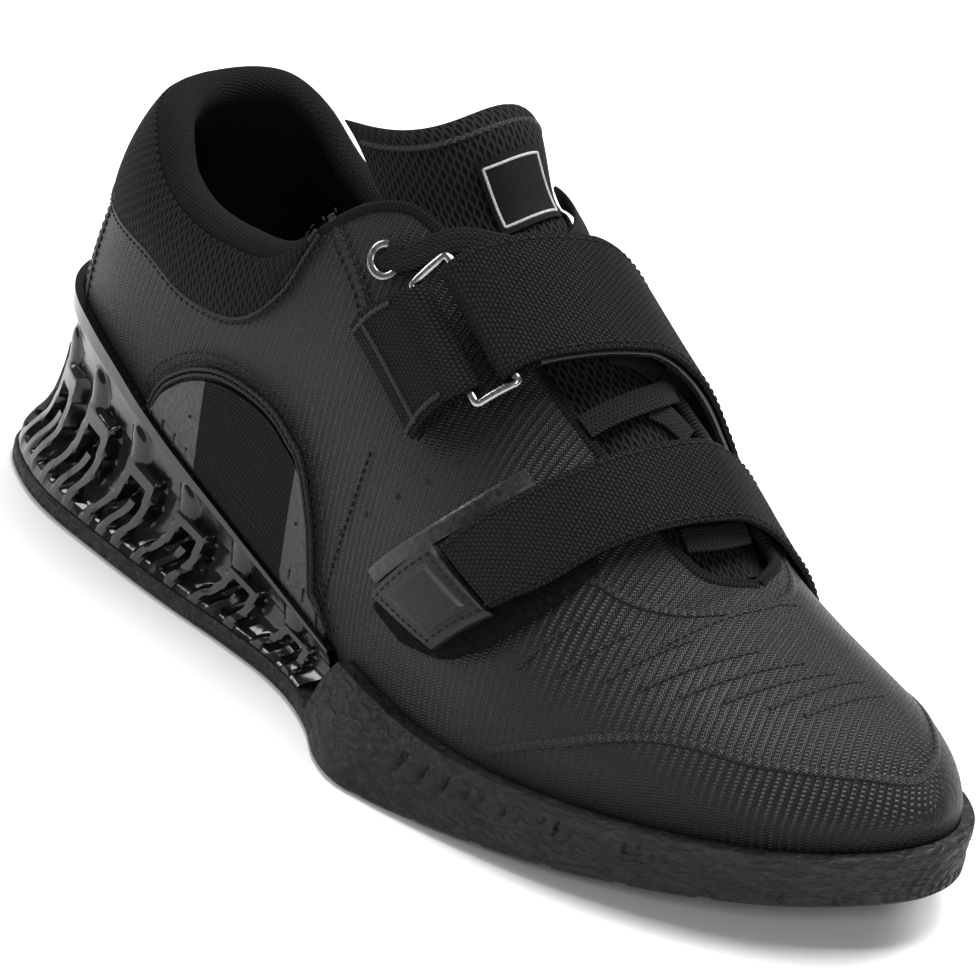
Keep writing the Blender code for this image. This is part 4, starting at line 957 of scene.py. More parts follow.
# The mesh's holes are real openings; their near-black colour is painted shade inside them, and the yarn speckle is
# random tone.
vary(tree, surface, "Base Color", net["Hole"] * 0.92 + yarn * 0.08, (0.0132, 0.0132, 0.0143),
     (0.00033, 0.00033, 0.00033))
raise_by(tree, surface, yarn, 0.00012, raise_by(tree, surface, net["Height"], 0.0007))
panel_table = np.array(PANEL_LOW_EDGE[1:], float)
panel_turns = np.concatenate([np.linspace(float(turn_of(panel_table[-1, 0])), 0.0, 130),
                              np.linspace(0.0, float(turn_of(panel_table[-1, 0])), 130)[1:]])
panel_rows = []
panel_share = np.linspace(0.0, 1.0, 60)
for k, turn in enumerate(panel_turns):
    side = LATERAL if k < 130 else MEDIAL
    high = 1.0 - float(top_edge(side, turn))
    low = max(float(smooth(panel_table[:, 0], panel_table[:, 1], along_of(turn))), high + 0.004)
    across = side * (low + (high - low) * panel_share)
    end = min(1.0, (low - high) / 0.12)
    bulge = PANEL_BULGE * np.sin(math.pi * panel_share) ** 0.7 * end
    panel_rows.append(on_upper(np.full(60, turn), across, PANEL_OUT + COLLAR_PUFF + bulge))
panel_outer = np.array(panel_rows)
panel_under = []
for k, turn in enumerate(panel_turns):
    side = LATERAL if k < 130 else MEDIAL
    high = 1.0 - float(top_edge(side, turn))
    low = max(float(smooth(panel_table[:, 0], panel_table[:, 1], along_of(turn))), high + 0.004)
    panel_under.append(on_upper(np.full(60, turn), side * (low + (high - low) * panel_share),
                                COLLAR_PUFF * 0.3))
panel_metres = np.zeros((len(panel_turns), 60, 2))
panel_steps = np.linalg.norm(np.diff(panel_outer, axis=0), axis=-1).mean(axis=1)
panel_metres[1:, :, 0] = np.cumsum(panel_steps)[:, None]
panel_metres[:, 1:, 1] = np.cumsum(np.linalg.norm(np.diff(panel_outer, axis=1), axis=-1), axis=1)
panel_metres[:, :, 1] -= panel_metres[:, -1:, 1]
collar_panel = sheet_piece("collar_panel", panel_outer, np.array(panel_under), [air_mesh], panel_metres)
mount(collar_panel, "air_mesh")


def line_on_upper(spots, pitch=0.0007, out=0.0):
    """Points and normals every so often along a smooth line through chosen spots on the upper."""
    spots = np.array(spots, float)
    rough = np.linspace(0, len(spots) - 1, 40 * len(spots))
    along, across = (smooth(np.arange(len(spots)), spots[:, k], rough) for k in range(2))
    length = np.linalg.norm(np.diff(on_upper(turn_of(along), across, out), axis=0), axis=1)
    arc = np.concatenate([[0.0], np.cumsum(length)])
    at = np.linspace(0, arc[-1], max(2, math.ceil(arc[-1] / pitch) + 1))
    turn, across = turn_of(np.interp(at, arc, along)), np.interp(at, arc, across)
    points = on_upper(turn, across, out)
    return points, unit(on_upper(turn, across, out + 0.01) - points)


def aside(points, normals, distance):
    """A line moved sideways over the surface."""
    return points + unit(np.cross(normals, np.gradient(points, axis=0))) * distance


def ridge(name, spots, width, height, material, out=0.0, arches=((0.0, 1.0),)):
    """A raised seam: one or more rolls side by side along a line on the upper."""
    points, normals = line_on_upper(spots, out=out)
    wide = unit(np.cross(normals, np.gradient(points, axis=0)))
    angle = np.linspace(0, math.pi, 9)
    pieces = []
    for centre, share in arches:
        middle = points + wide * centre * width
        arch = middle[:, None] + (width * share / 2) * np.cos(angle)[None, :, None] * wide[:, None]
        base = arch - normals[:, None] * 0.0004
        arch = arch + height * np.sin(angle)[None, :, None] * normals[:, None]
        pieces.append(sheet_piece(name, arch, base, [material]))
    return pieces


def repeat_tree(name, on_path):
    """Nodes that set a small bead on each point, or at a pitch along each line, turned with the line."""
    tree = bpy.data.node_groups.new(name, "GeometryNodeTree")
    tree.interface.new_socket("Geometry", in_out="INPUT", socket_type="NodeSocketGeometry")
    for label in ("Pitch", "Length", "Width", "Height"):
        tree.interface.new_socket(label, in_out="INPUT", socket_type="NodeSocketFloat")
    tree.interface.new_socket("Material", in_out="INPUT", socket_type="NodeSocketMaterial")
    tree.interface.new_socket("Geometry", in_out="OUTPUT", socket_type="NodeSocketGeometry")
    new, link = tree.nodes.new, tree.links.new
    source, sink = new("NodeGroupInput"), new("NodeGroupOutput")
    bead, sized = new("GeometryNodeMeshUVSphere"), new("GeometryNodeTransform")
    size = new("ShaderNodeCombineXYZ")
    bead.inputs["Segments"].default_value = 8
    bead.inputs["Rings"].default_value = 5
    bead.inputs["Radius"].default_value = 0.5
    for label, axis in (("Length", 0), ("Width", 1), ("Height", 2)):
        link(source.outputs[label], size.inputs[axis])
    link(bead.outputs["Mesh"], sized.inputs["Geometry"])
    link(size.outputs[0], sized.inputs["Scale"])
    lift = new("GeometryNodeInputNamedAttribute")
    lift.data_type = "FLOAT_VECTOR"
    lift.inputs["Name"].default_value = "lift"
    stand = new("FunctionNodeAlignRotationToVector")
    stand.axis = "Z"
    link(lift.outputs["Attribute"], stand.inputs["Vector"])
    setting = new("GeometryNodeInstanceOnPoints")
    link(sized.outputs[0], setting.inputs["Instance"])
    if on_path:
        curve, even = new("GeometryNodeMeshToCurve"), new("GeometryNodeResampleCurve")
        even.mode = "LENGTH"
        link(source.outputs["Geometry"], curve.inputs[0])
        link(curve.outputs[0], even.inputs["Curve"])
        link(source.outputs["Pitch"], even.inputs["Length"])
        link(even.outputs[0], setting.inputs["Points"])
        ahead, turned = new("GeometryNodeInputTangent"), new("FunctionNodeAlignRotationToVector")
        turned.axis, turned.pivot_axis = "X", "Z"
        link(ahead.outputs[0], turned.inputs["Vector"])
        link(stand.outputs[0], turned.inputs["Rotation"])
        link(turned.outputs[0], setting.inputs["Rotation"])
    else:
        link(source.outputs["Geometry"], setting.inputs["Points"])
        link(stand.outputs[0], setting.inputs["Rotation"])
    real, coloured = new("GeometryNodeRealizeInstances"), new("GeometryNodeSetMaterial")
    link(setting.outputs[0], real.inputs[0])
    link(real.outputs[0], coloured.inputs["Geometry"])
    link(source.outputs["Material"], coloured.inputs["Material"])
    link(coloured.outputs[0], sink.inputs[0])
    return tree


stitch_nodes = repeat_tree("stitches", True)
bead_nodes = repeat_tree("beads", False)


def repeat(name, lines, pitch, size, material, slot, nodes=stitch_nodes):
    """A mesh of stitches or beads along lines of points with normals."""
    mesh = bpy.data.meshes.new(name + "_line")
    points = np.concatenate([np.asarray(p).reshape(-1, 3) for p, n in lines])
    lifts = np.concatenate([np.asarray(n).reshape(-1, 3) for p, n in lines])
    edges, start = [], 0
    for p, n in lines:
        count = len(np.asarray(p).reshape(-1, 3))
        edges += [(start + k, start + k + 1) for k in range(count - 1)] if nodes is stitch_nodes else []
        start += count
    mesh.from_pydata(points.tolist(), edges, [])
    mesh.attributes.new("lift", "FLOAT_VECTOR", "POINT").data.foreach_set("vector", lifts.ravel())
    line = bpy.data.objects.new(name + "_line", mesh)
    bpy.context.scene.collection.objects.link(line)
    modifier = line.modifiers.new("repeat", "NODES")
    modifier.node_group = nodes
    values = {"Pitch": pitch, "Length": size[0], "Width": size[1], "Height": size[2], "Material": material}
    for item in nodes.interface.items_tree:
        if item.in_out == "INPUT" and item.name in values:
            modifier[item.identifier] = values[item.name]
    graph = bpy.context.evaluated_depsgraph_get()
    made = bpy.data.meshes.new_from_object(line.evaluated_get(graph))
    made.name = name
    made.shade_smooth()
    piece = bpy.data.objects.new(name, made)
    bpy.context.scene.collection.objects.link(piece)
    bpy.data.objects.remove(line, do_unlink=True)
    return mount(piece, slot)


def join(name, pieces, slot):
    """Several objects made one piece."""
    shape = bpy.data.meshes.new(name)
    joined = bmesh.new()
    for piece in pieces:
        joined.from_mesh(piece.data)
    joined.to_mesh(shape)
    joined.free()
    for material in pieces[0].data.materials:
        shape.materials.append(material)
    for piece in pieces:
        bpy.data.objects.remove(piece, do_unlink=True)
    whole = bpy.data.objects.new(name, shape)
    bpy.context.scene.collection.objects.link(whole)
    return mount(whole, slot)


thread, tree, surface = paint("black_thread", (0.028, 0.028, 0.030), 0.55, specular_ior_level=0.1)
twist = speckle(tree, object_place(tree), 2500.0, 1.0)
vary(tree, surface, "Base Color", twist.between(0.3, 0.7), (0.0033, 0.0033, 0.0033), (0.0143, 0.0143, 0.0154))
panel_edge = []
for sign in (LATERAL, MEDIAL):
    panel_edge.append([(a, sign * b) for a, b in panel_table[::-1]])
welt_pieces = []
for spots in panel_edge:
    welt_pieces += ridge("welt", spots, 0.0026, 0.0007, twill, 0.0004, ((-0.26, 0.5), (0.30, 0.5)))
join("collar_welt", welt_pieces, "shell_fabric")
rows = []
for sign, spots in zip((1.0, -1.0), panel_edge):
    points, normals = line_on_upper(spots, out=0.0007)
    rows += [(aside(points, normals, d * sign), normals) for d in (0.0021, -0.0021)]
STITCH = (0.0016, 0.00055, 0.0005)
repeat("collar_stitches", rows, 0.0021, STITCH, thread, "shell_fabric")

# Seams of the shell: rolled edges, fold lines and stitch rows of the eyestay, vamp and toe, and the punched
# holes behind the lower strap. Each is laid on the twill where the photograph shows it.
EYESTAY_LINE = ((0.366, -0.518), (0.392, -0.537), (0.427, -0.564), (0.440, -0.600))
TOE_SEAM = (
    (0.705, -1.02), (0.718, -0.983), (0.768, -0.857), (0.821, -0.697), (0.861, -0.625),
    (0.902, -0.583), (0.939, -0.436), (0.968, -0.183), (0.972, 0.05), (0.955, 0.35), (0.915, 0.56),
    (0.86, 0.72), (0.79, 0.86), (0.72, 0.98),
)
VAMP_ARC = (
    (0.690, -0.52), (0.713, -0.423), (0.742, -0.364), (0.770, -0.268), (0.788, -0.145),
    (0.796, -0.019), (0.792, 0.13), (0.775, 0.26), (0.75, 0.36), (0.715, 0.46),
)
HEEL_SEAM = ((0.046, -0.82), (0.049, -0.868), (0.055, -0.93), (0.061, -0.974))
SIDE_SEAM = ((0.485, -0.728), (0.478, -0.85), (0.462, -1.02), (0.445, -1.25), (0.429, -1.466))
TOE_LINES = (
    ((0.709, -0.734), (0.727, -0.511)), ((0.740, -0.668), (0.760, -0.418)),
    ((0.771, -0.594), (0.792, -0.307)), ((0.797, -0.543), (0.828, -0.165)),
    ((0.823, -0.484), (0.854, -0.076)), ((0.849, -0.406), (0.872, -0.012)),
    ((0.874, -0.321), (0.887, 0.119)), ((0.894, -0.254), (0.904, 0.172)),
    ((0.780, -0.464), (0.803, 0.141)),
)
PUNCHED_HOLES = (
    (0.573, -0.545), (0.554, -0.634), (0.529, -0.717), (0.499, -0.807), (0.472, -0.881),
    (0.442, -0.945),
)
seam_lines = {"toe_seam": TOE_SEAM, "vamp_seam": VAMP_ARC, "eyestay_seam": EYESTAY_LINE,
              "heel_seam": HEEL_SEAM}
seam_pieces, rows = [], []
for name, spots in seam_lines.items():
    crease = name in ("toe_seam", "vamp_seam")
    seam_pieces += ridge(name, spots, 0.0022 if crease else 0.0019, 0.0004, twill)
    if not crease:
        points, normals = line_on_upper(spots, out=0.00015)
        rows += [(aside(points, normals, d), normals) for d in (0.0019, -0.0019)]
for start, end in TOE_LINES:
    seam_pieces += ridge("toe_line", (start, end), 0.0011, 0.00032, twill)
points, normals = line_on_upper(SIDE_SEAM, out=0.00015)
rows.append((points, normals))
join("shell_seams", seam_pieces, "shell_fabric")
repeat("shell_stitches", rows, 0.0021, STITCH, thread, "shell_fabric")
# Holes are dark discs laid on the surface: painted shade standing for the inside of each hole.
hole_shade, tree, surface = paint("painted_hole_shade", (0.0015, 0.0015, 0.0015), 0.9)
vary(tree, surface, "Base Color", speckle(tree, object_place(tree), 800.0), (0.00055, 0.00055, 0.00055),
     (0.0022, 0.0022, 0.0022))
spots = np.array(PUNCHED_HOLES)
points = on_upper(turn_of(spots[:, 0]), spots[:, 1], 0.0)
normals = on_upper(turn_of(spots[:, 0]), spots[:, 1], 1.0) - points
# The punched holes are dark discs of painted shade.
repeat("punched_holes", [(points, normals)], 0.0, (0.0017, 0.0017, 0.0003), hole_shade, "shell_fabric",
       bead_nodes)

# Binding: a ribbed roll of textile sewn over the edge of the eyestays and round the throat's toe end.
BINDING_RADIUS, BINDING_SIDES = 0.0017, 14
BINDING_START, EYESTAY_CORNER = 0.352, (0.462, 0.466)
binding_cloth, tree, surface = paint("binding_rib", (0.015, 0.015, 0.016), 0.8, specular_ior_level=0.1)
ribbing = pattern(tree, lumps, cloth_place(tree), Wide=0.0009, Tall=0.004, Shift=0.0)
# Darker between the ribs and lighter on them: painted shade in the hollows of the binding.
vary(tree, surface, "Base Color", ribbing["Height"], (0.0011, 0.0011, 0.0011), (0.011, 0.011, 0.01155))
raise_by(tree, surface, ribbing["Height"], 0.0006)
for side, word in ((LATERAL, "lateral"), (MEDIAL, "medial")):
    rear = np.linspace(BINDING_START, EYESTAY_CORNER[0], 60)
    along = np.concatenate([rear, np.linspace(EYESTAY_CORNER[1], THROAT_EDGE[-1][0] - 0.0005, 200)])
    edge = 1.0 - top_edge(side, turn_of(along))
    inner_edge = on_upper(turn_of(along), side * edge, -UPPER_WALL)
    outer_edge = on_upper(turn_of(along), side * edge, 0.0)
    line = (inner_edge + outer_edge) / 2
    for _ in range(4):
        line[1:-1] = (line[:-2] + 2 * line[1:-1] + line[2:]) / 4
    ahead = unit(np.gradient(line, axis=0))
    out_way = unit(outer_edge - inner_edge)
    out_way = unit(out_way - (out_way * ahead).sum(axis=1, keepdims=True) * ahead)
    other = np.cross(ahead, out_way)
    angle = np.linspace(0, 2 * math.pi, BINDING_SIDES + 1)[:-1]
    swell = BINDING_RADIUS * np.minimum(1.0, 0.35 + np.arange(len(along)) / 12)
    ring = np.cos(angle)[:, None, None] * out_way + np.sin(angle)[:, None, None] * other
    tube = (line[None] + swell[None, :, None] * ring).transpose(1, 0, 2)
    arc = np.concatenate([[0.0], np.cumsum(np.linalg.norm(np.diff(line, axis=0), axis=1))])
    metres = np.stack(np.meshgrid(arc, angle * BINDING_RADIUS, indexing="ij"), -1)
    faces = []
    for first in range(0, (len(line) - 1) * BINDING_SIDES, BINDING_SIDES):
        following = first + BINDING_SIDES
        for j in range(BINDING_SIDES):
            m = (j + 1) % BINDING_SIDES
            faces.append((first + j, following + j, following + m, first + m))
    faces += [tuple(range(BINDING_SIDES)), tuple(following + j for j in range(BINDING_SIDES - 1, -1, -1))]
    binding = make_piece("edge_binding_" + word, tube.reshape(-1, 3), faces, [binding_cloth], metres)
    mount(binding, "shell_fabric")

# Gores: half-oval windows over the heel block with ribbed elastic between ends of pinholed leather, framed
# by a rolled seam and two rows of stitches.
GORE_THICKNESS = 0.0009
# Gore: how far out its arched edge lies on the upper
GORE_EDGE = (
    ("along", "across"),
    (0.200, 1.020),
    (0.215, 0.985),
    (0.235, 0.955),
    (0.270, 0.915),
    (0.325, 0.878),
    (0.381, 0.868),
    (0.420, 0.900),
    (0.445, 1.000),
    (0.466, 1.230),
    (0.474, 1.420),
)
ELASTIC_FROM, ELASTIC_TO = 0.275, 0.405
elastic, tree, surface = paint("ribbed_elastic", (0.022, 0.022, 0.024), 0.7, specular_ior_level=0.1)
ribs = pattern(tree, lumps, cloth_place(tree), Wide=0.0011, Tall=0.0008, Shift=0.5)
# Darker between the ribs and lighter on them: painted shade in the hollows of the elastic.
vary(tree, surface, "Base Color", ribs["Height"], (0.000825, 0.000825, 0.000825), (0.0088, 0.0088, 0.00935))
raise_by(tree, surface, ribs["Height"], 0.0005)
leather, tree, surface = paint("gore_leather", (0.014, 0.014, 0.015), 0.42)
grain = speckle(tree, object_place(tree), 700.0, 3.0, 0.4)
vary(tree, surface, "Roughness", grain.between(0.3, 0.7), 0.34, 0.52)
vary(tree, surface, "Base Color", grain.between(0.2, 0.8), (0.00275, 0.00275, 0.003025), (0.00605, 0.00605, 0.0066))
raise_by(tree, surface, grain, 0.00018)
gore_rows = np.array(GORE_EDGE[1:], float)
pins, frames, rows = [], [], []
for side, word in ((LATERAL, "lateral"), (MEDIAL, "medial")):
    along = np.linspace(gore_rows[0, 0], gore_rows[-1, 0], 81)
    top = smooth(gore_rows[:, 0], gore_rows[:, 1], along)
    turn = turn_of(along)
    rim = np.array([max(block_top(side, float(t)), float(bed_height(t)) + 0.001) for t in turn])
    low = np.maximum(np.abs(across_at(side, turn, rim + 0.0004)), top + 0.02)
    share = np.linspace(0.0, 1.0, 30)
    across = side * (low[:, None] + (top - low)[:, None] * share)
    turns = np.repeat(turn[:, None], len(share), axis=1)
    arch = np.sin(math.pi * (along - along[0]) / (along[-1] - along[0]))[:, None]
    out = CLEARANCE + GORE_THICKNESS + 0.0006 * np.sin(math.pi * share)[None, :] * arch
    face = on_upper(turns, across, out)
    stretch = np.argmax(along > ELASTIC_FROM), np.argmax(along > ELASTIC_TO)
    gore = sheet_piece("gore_panel_" + word, face, on_upper(turns, across, np.full(across.shape, 0.0001)),
                       [leather, elastic], slots=lambda i, j: 1 if stretch[0] <= i < stretch[1] else 0)
    mount(gore, "webbing", "gore_" + word)
    for first, last, lines in ((0.19, 0.262, 5), (0.418, 0.462, 3)):
        for k, a in enumerate(np.linspace(first, last, lines)):
            edge = float(smooth(gore_rows[:, 0], gore_rows[:, 1], a))
            for step_down in range(4):
                b = edge + 0.045 + 0.07 * step_down + (0.035 if k % 2 else 0.0)
                if b < float(np.interp(a, along, low)) - 0.04:
                    here = on_upper(turn_of(a), side * b, CLEARANCE + GORE_THICKNESS + 0.0003)
                    pins.append((here, on_upper(turn_of(a), side * b, 1.0)
                                 - on_upper(turn_of(a), side * b, 0.0)))
    spots = [(a, side * b) for a, b in zip(along[::5], (top - 0.012)[::5])]
    frames += ridge("gore_frame", spots, 0.0024, 0.0008, twill, 0.0006, ((-0.28, 0.5), (0.28, 0.5)))
    points, normals = line_on_upper(spots, out=0.0006)
    rows += [(aside(points, normals, -side * d), normals) for d in (0.0024, 0.0046)]
join("gore_frames", frames, "shell_fabric")
repeat("gore_stitches", rows, 0.0021, STITCH, thread, "shell_fabric")
# The pinholes are dark discs of painted shade.
repeat("gore_pinholes", pins, 0.0, (0.0009, 0.0009, 0.0003), hole_shade, "shell_fabric", bead_nodes)

# Tongue: a padded tongue of air mesh from under the toe end of the throat to its bound, arched top. Its
# woven label is black with a thin pale border and nothing inside.
TONGUE_TOE = 0.765
TONGUE_TOP = 0.418
TONGUE_TOP_ARCH = (0.105, 0.022)
TONGUE_HALF_SPREAD = 0.42
TONGUE_THICKNESS = 0.0075
TONGUE_GAP = 0.0015
TONGUE_BULGE = -0.0006
TONGUE_TOP_RISE = 0.0065
TONGUE_SIDE_TUCK = 0.0085
LABEL_V = (0.765, 0.900)
LABEL_W = (-0.38, 0.16)


def tongue_point(v, w, depth):
    """A place in the tongue: v from its toe end to its top, w from its lateral edge at -1 to its medial at
    1, and a depth below its outer face."""
    top = TONGUE_TOP - np.where(np.asarray(w) < 0, TONGUE_TOP_ARCH[0], TONGUE_TOP_ARCH[1]) * np.abs(w) ** 3
    along = TONGUE_TOE + (top - TONGUE_TOE) * v
    half = TONGUE_HALF_SPREAD * (0.62 + 0.38 * step(0.0, 0.3, v)) * (1.0 - 0.10 * step(0.75, 1.0, v))
    free = step(0.78, 1.0, v)
    under = -(UPPER_WALL + TONGUE_GAP)
    middle = np.clip(1.0 - (w / 0.62) ** 2, 0.0, 1.0) ** 1.5
    out = under + (TONGUE_BULGE - under) * middle * step(0.0, 0.2, v) * (1.0 - free)
    out = out + free * (TONGUE_TOP_RISE * (1.0 - np.abs(w) ** 3) - TONGUE_SIDE_TUCK * np.abs(w) ** 3
                        - under)
    return on_upper(turn_of(along), half * w, out - depth)


v = np.linspace(0.0, 1.0, 150)[:, None] * np.ones((1, 101))
w = np.linspace(-1.0, 1.0, 101)[None, :] * np.ones((150, 1))
thick = TONGUE_THICKNESS * (0.45 + 0.55 * step(0.1, 0.8, v)) * (1.0 - 0.65 * np.abs(w) ** 4)
edge_round = np.sqrt(np.clip(1 - np.clip((v - 0.95) / 0.05, 0, 1) ** 2, 0.02, 1))
thick = thick * edge_round * (1 - 0.8 * np.clip((np.abs(w) - 0.93) / 0.07, 0, 1) ** 2)
sink = 0.35 * TONGUE_THICKNESS * (1 - edge_round) + 0.0006 * np.clip((np.abs(w) - 0.93) / 0.07, 0, 1) ** 2
puff = 0.0004 * np.sin(v * 9.0 + w * 2.0) * np.sin(w * 4.0 + 1.0)
tongue_outer = tongue_point(v, w, sink - puff)
tongue_metres = np.zeros(v.shape + (2,))
tongue_metres[1:, :, 1] = np.cumsum(np.linalg.norm(np.diff(tongue_outer, axis=0),
                                                   axis=-1).mean(axis=1))[:, None]
tongue_metres[:, 1:, 0] = np.cumsum(np.linalg.norm(np.diff(tongue_outer, axis=1), axis=-1), axis=1)
tongue_metres[:, :, 0] -= tongue_metres[:, 50:51, 0]
tongue_pad = sheet_piece("tongue_pad", tongue_outer, tongue_point(v, w, sink + thick), [air_mesh],
                         tongue_metres, sharp=60.0)
mount(tongue_pad, "air_mesh", "tongue")


def tongue_line(spots, depth, pitch_count=60):
    """Points and normals along a smooth line through chosen spots on the tongue."""
    spots = np.array(spots, float)
    rough = np.linspace(0, len(spots) - 1, pitch_count * (len(spots) - 1))
    a, b = (np.interp(rough, np.arange(len(spots)), spots[:, k]) for k in range(2))
    points = tongue_point(a, b, depth)
    return points, unit(tongue_point(a, b, depth - 0.01) - points)


def roll(name, points, normals, width, height, material):
    """A raised roll along a line with normals."""
    wide = unit(np.cross(normals, np.gradient(points, axis=0)))
    angle = np.linspace(0, math.pi, 9)
    arch = points[:, None] + width / 2 * np.cos(angle)[None, :, None] * wide[:, None]
    base = arch - normals[:, None] * 0.0004
    return sheet_piece(name, arch + height * np.sin(angle)[None, :, None] * normals[:, None], base,
                       [material])


binding = [(0.955 - 0.02 * abs(s) ** 3, s) for s in np.linspace(-0.97, 0.97, 9)]
points, normals = tongue_line(binding, 0.0002)
tongue_binding = roll("tongue_binding", points, normals, 0.0016, 0.0005, twill)
mount(tongue_binding, "shell_fabric")
lines = [(aside(points, normals, 0.0016), normals)]
repeat("tongue_stitches", lines, 0.0021, STITCH, thread, "shell_fabric")
LABEL_OUT = 0.0011
lv = np.linspace(LABEL_V[0], LABEL_V[1], 40)[:, None] * np.ones((1, 40))
lw = np.linspace(LABEL_W[0], LABEL_W[1], 40)[None, :] * np.ones((40, 1))
label_cloth, tree, surface = paint("label_weave", (0.012, 0.012, 0.013), 0.6, specular_ior_level=0.1)
satin = pattern(tree, lumps, cloth_place(tree), Wide=0.0005, Tall=0.0004, Shift=0.5)
# Darker between the satin's lumps and lighter on them: painted shade in the hollows of the weave.
vary(tree, surface, "Base Color", satin["Height"], (0.001375, 0.001375, 0.00165), (0.00495, 0.00495, 0.0055))
raise_by(tree, surface, satin["Height"], 0.00012)
label = sheet_piece("label_patch", tongue_point(lv, lw, -LABEL_OUT), tongue_point(lv, lw, -0.0003),
                    [label_cloth])
mount(label, "webbing", "tongue_label")
pale, tree, surface = paint("pale_thread", (0.62, 0.62, 0.61), 0.6)
twist = speckle(tree, object_place(tree), 2500.0, 1.0)
vary(tree, surface, "Base Color", twist.between(0.3, 0.7), (0.231, 0.231, 0.2255), (0.396, 0.396, 0.385))
inset_v, inset_w = 0.10 * (LABEL_V[1] - LABEL_V[0]), 0.07 * (LABEL_W[1] - LABEL_W[0])
low_v, high_v = LABEL_V[0] + inset_v, LABEL_V[1] - inset_v
low_w, high_w = LABEL_W[0] + inset_w, LABEL_W[1] - inset_w
border_corners = ((low_v, low_w), (high_v, low_w), (high_v, high_w), (low_v, high_w))
border_pieces = []
for k in range(4):
    points, normals = tongue_line((border_corners[k], border_corners[(k + 1) % 4]), -LABEL_OUT, 30)
    border_pieces.append(roll("border", points, normals, 0.0007, 0.0002, pale))
join("label_border", border_pieces, "webbing")

# Laces: flat black woven cord, run straight across the tongue in bars with two crossings under them, and
# from the top eyelets in under the upper strap. The ends stop at the eyelets.
LACE_WIDTH = 0.0060
LACE_THICKNESS = 0.0012
# Runs of the lace: shares of the length, places across, and heights of the middle of the lace above the
# upper
LACE_RUNS = (
    (
        "lace_top",
        (
            (0.434, -0.450, 0.0023),
            (0.452, -0.420, 0.0018),
            (0.475, -0.290, 0.0008),
            (0.508, -0.150, 0.0007),
            (0.522, 0.000, 0.0007),
            (0.508, 0.150, 0.0007),
            (0.475, 0.290, 0.0008),
            (0.444, 0.385, 0.0011),
        ),
    ),
    ("lace_bar_rear", ((0.572, -0.235, 0.0004), (0.574, 0.000, 0.0007), (0.572, 0.130, 0.0004))),
    ("lace_bar_middle", ((0.632, -0.230, 0.0008), (0.637, -0.030, 0.0019), (0.634, 0.110, 0.0010))),
    ("lace_bar_front", ((0.684, -0.185, 0.0004), (0.686, 0.000, 0.0007), (0.684, 0.110, 0.0004))),
    ("lace_bar_end", ((0.729, -0.138, 0.0004), (0.737, -0.020, 0.0007), (0.737, 0.110, 0.0004))),
    ("lace_cross_rear", ((0.596, -0.060, 0.0003), (0.604, -0.005, 0.0003), (0.620, 0.085, 0.0002))),
    ("lace_cross_front", ((0.642, -0.035, 0.0003), (0.655, 0.015, 0.0003), (0.668, 0.060, 0.0002))),
)
lace_weave, tree, surface = paint("lace_weave", (0.016, 0.016, 0.017), 0.75, specular_ior_level=0.1)
braid = pattern(tree, herringbone, cloth_place(tree), Column=0.0010, Rib=0.0012)
# The lace's colour follows the braid's Shade: a painted highlight on its ridges and painted shade between them.
vary(tree, surface, "Base Color", braid["Shade"], (0.0011, 0.0011, 0.0011), (0.0121, 0.0121, 0.01265))
raise_by(tree, surface, braid["Height"], 0.0003)


def flat_cord(name, stops, material):
    """One run of the flat lace through its stops, with rounded edges."""
    stops = np.array(stops, float)
    s = np.linspace(0.0, len(stops) - 1.0, 30 * (len(stops) - 1) + 1)
    along, across, out = (smooth(np.arange(len(stops)), stops[:, k], s) for k in range(3))
    turn = turn_of(along)
    line = on_upper(turn, across, out)
    normal = unit(on_upper(turn, across, out + 1.0) - line)
    wide = unit(np.cross(normal, np.gradient(line, axis=0)))
    place = np.linspace(-1.0, 1.0, 15)
    half = LACE_THICKNESS / 2 * np.sqrt(1.0 - 0.8 * place**4)
    flat = line[:, None] + wide[:, None] * (place * LACE_WIDTH / 2)[None, :, None]
    rise = normal[:, None] * half[None, :, None]
    metres = np.zeros(flat.shape[:2] + (2,))
    metres[1:, :, 1] = np.cumsum(np.linalg.norm(np.diff(line, axis=0), axis=1))[:, None]
    metres[:, :, 0] = place * LACE_WIDTH / 2
    return sheet_piece(name, flat + rise, flat - rise, [material], metres)


for name, stops in LACE_RUNS:
    mount(flat_cord(name + "_cord", stops, lace_weave), "webbing", name)

# Eyelets: rolled gunmetal rings pressed through the top corners of the eyestay.
EYELET_PLACE = (0.433, 0.469)
EYELET_RADIUS = 0.0047
EYELET_HOLE = 0.0028
EYELET_RISE = 0.0009
RING_STEPS, BEND_STEPS = 48, 16
steel, tree, surface = paint("polished_steel", (0.70, 0.70, 0.71), 0.2, metallic=1.0)
scratch = speckle(tree, object_place(tree), 500.0, 4.0, 0.0, (1.0, 6.0, 1.0))
vary(tree, surface, "Roughness", scratch.between(0.3, 0.7), 0.12, 0.30)
vary(tree, surface, "Base Color", scratch.between(0.4, 0.8), (0.363, 0.363, 0.3685), (0.429, 0.429, 0.4345))
raise_by(tree, surface, scratch, 0.00003)
gunmetal, tree, surface = paint("gunmetal", (0.30, 0.30, 0.31), 0.25, metallic=1.0)
scratch = speckle(tree, object_place(tree), 700.0, 3.0)
vary(tree, surface, "Roughness", scratch.between(0.3, 0.7), 0.18, 0.34)
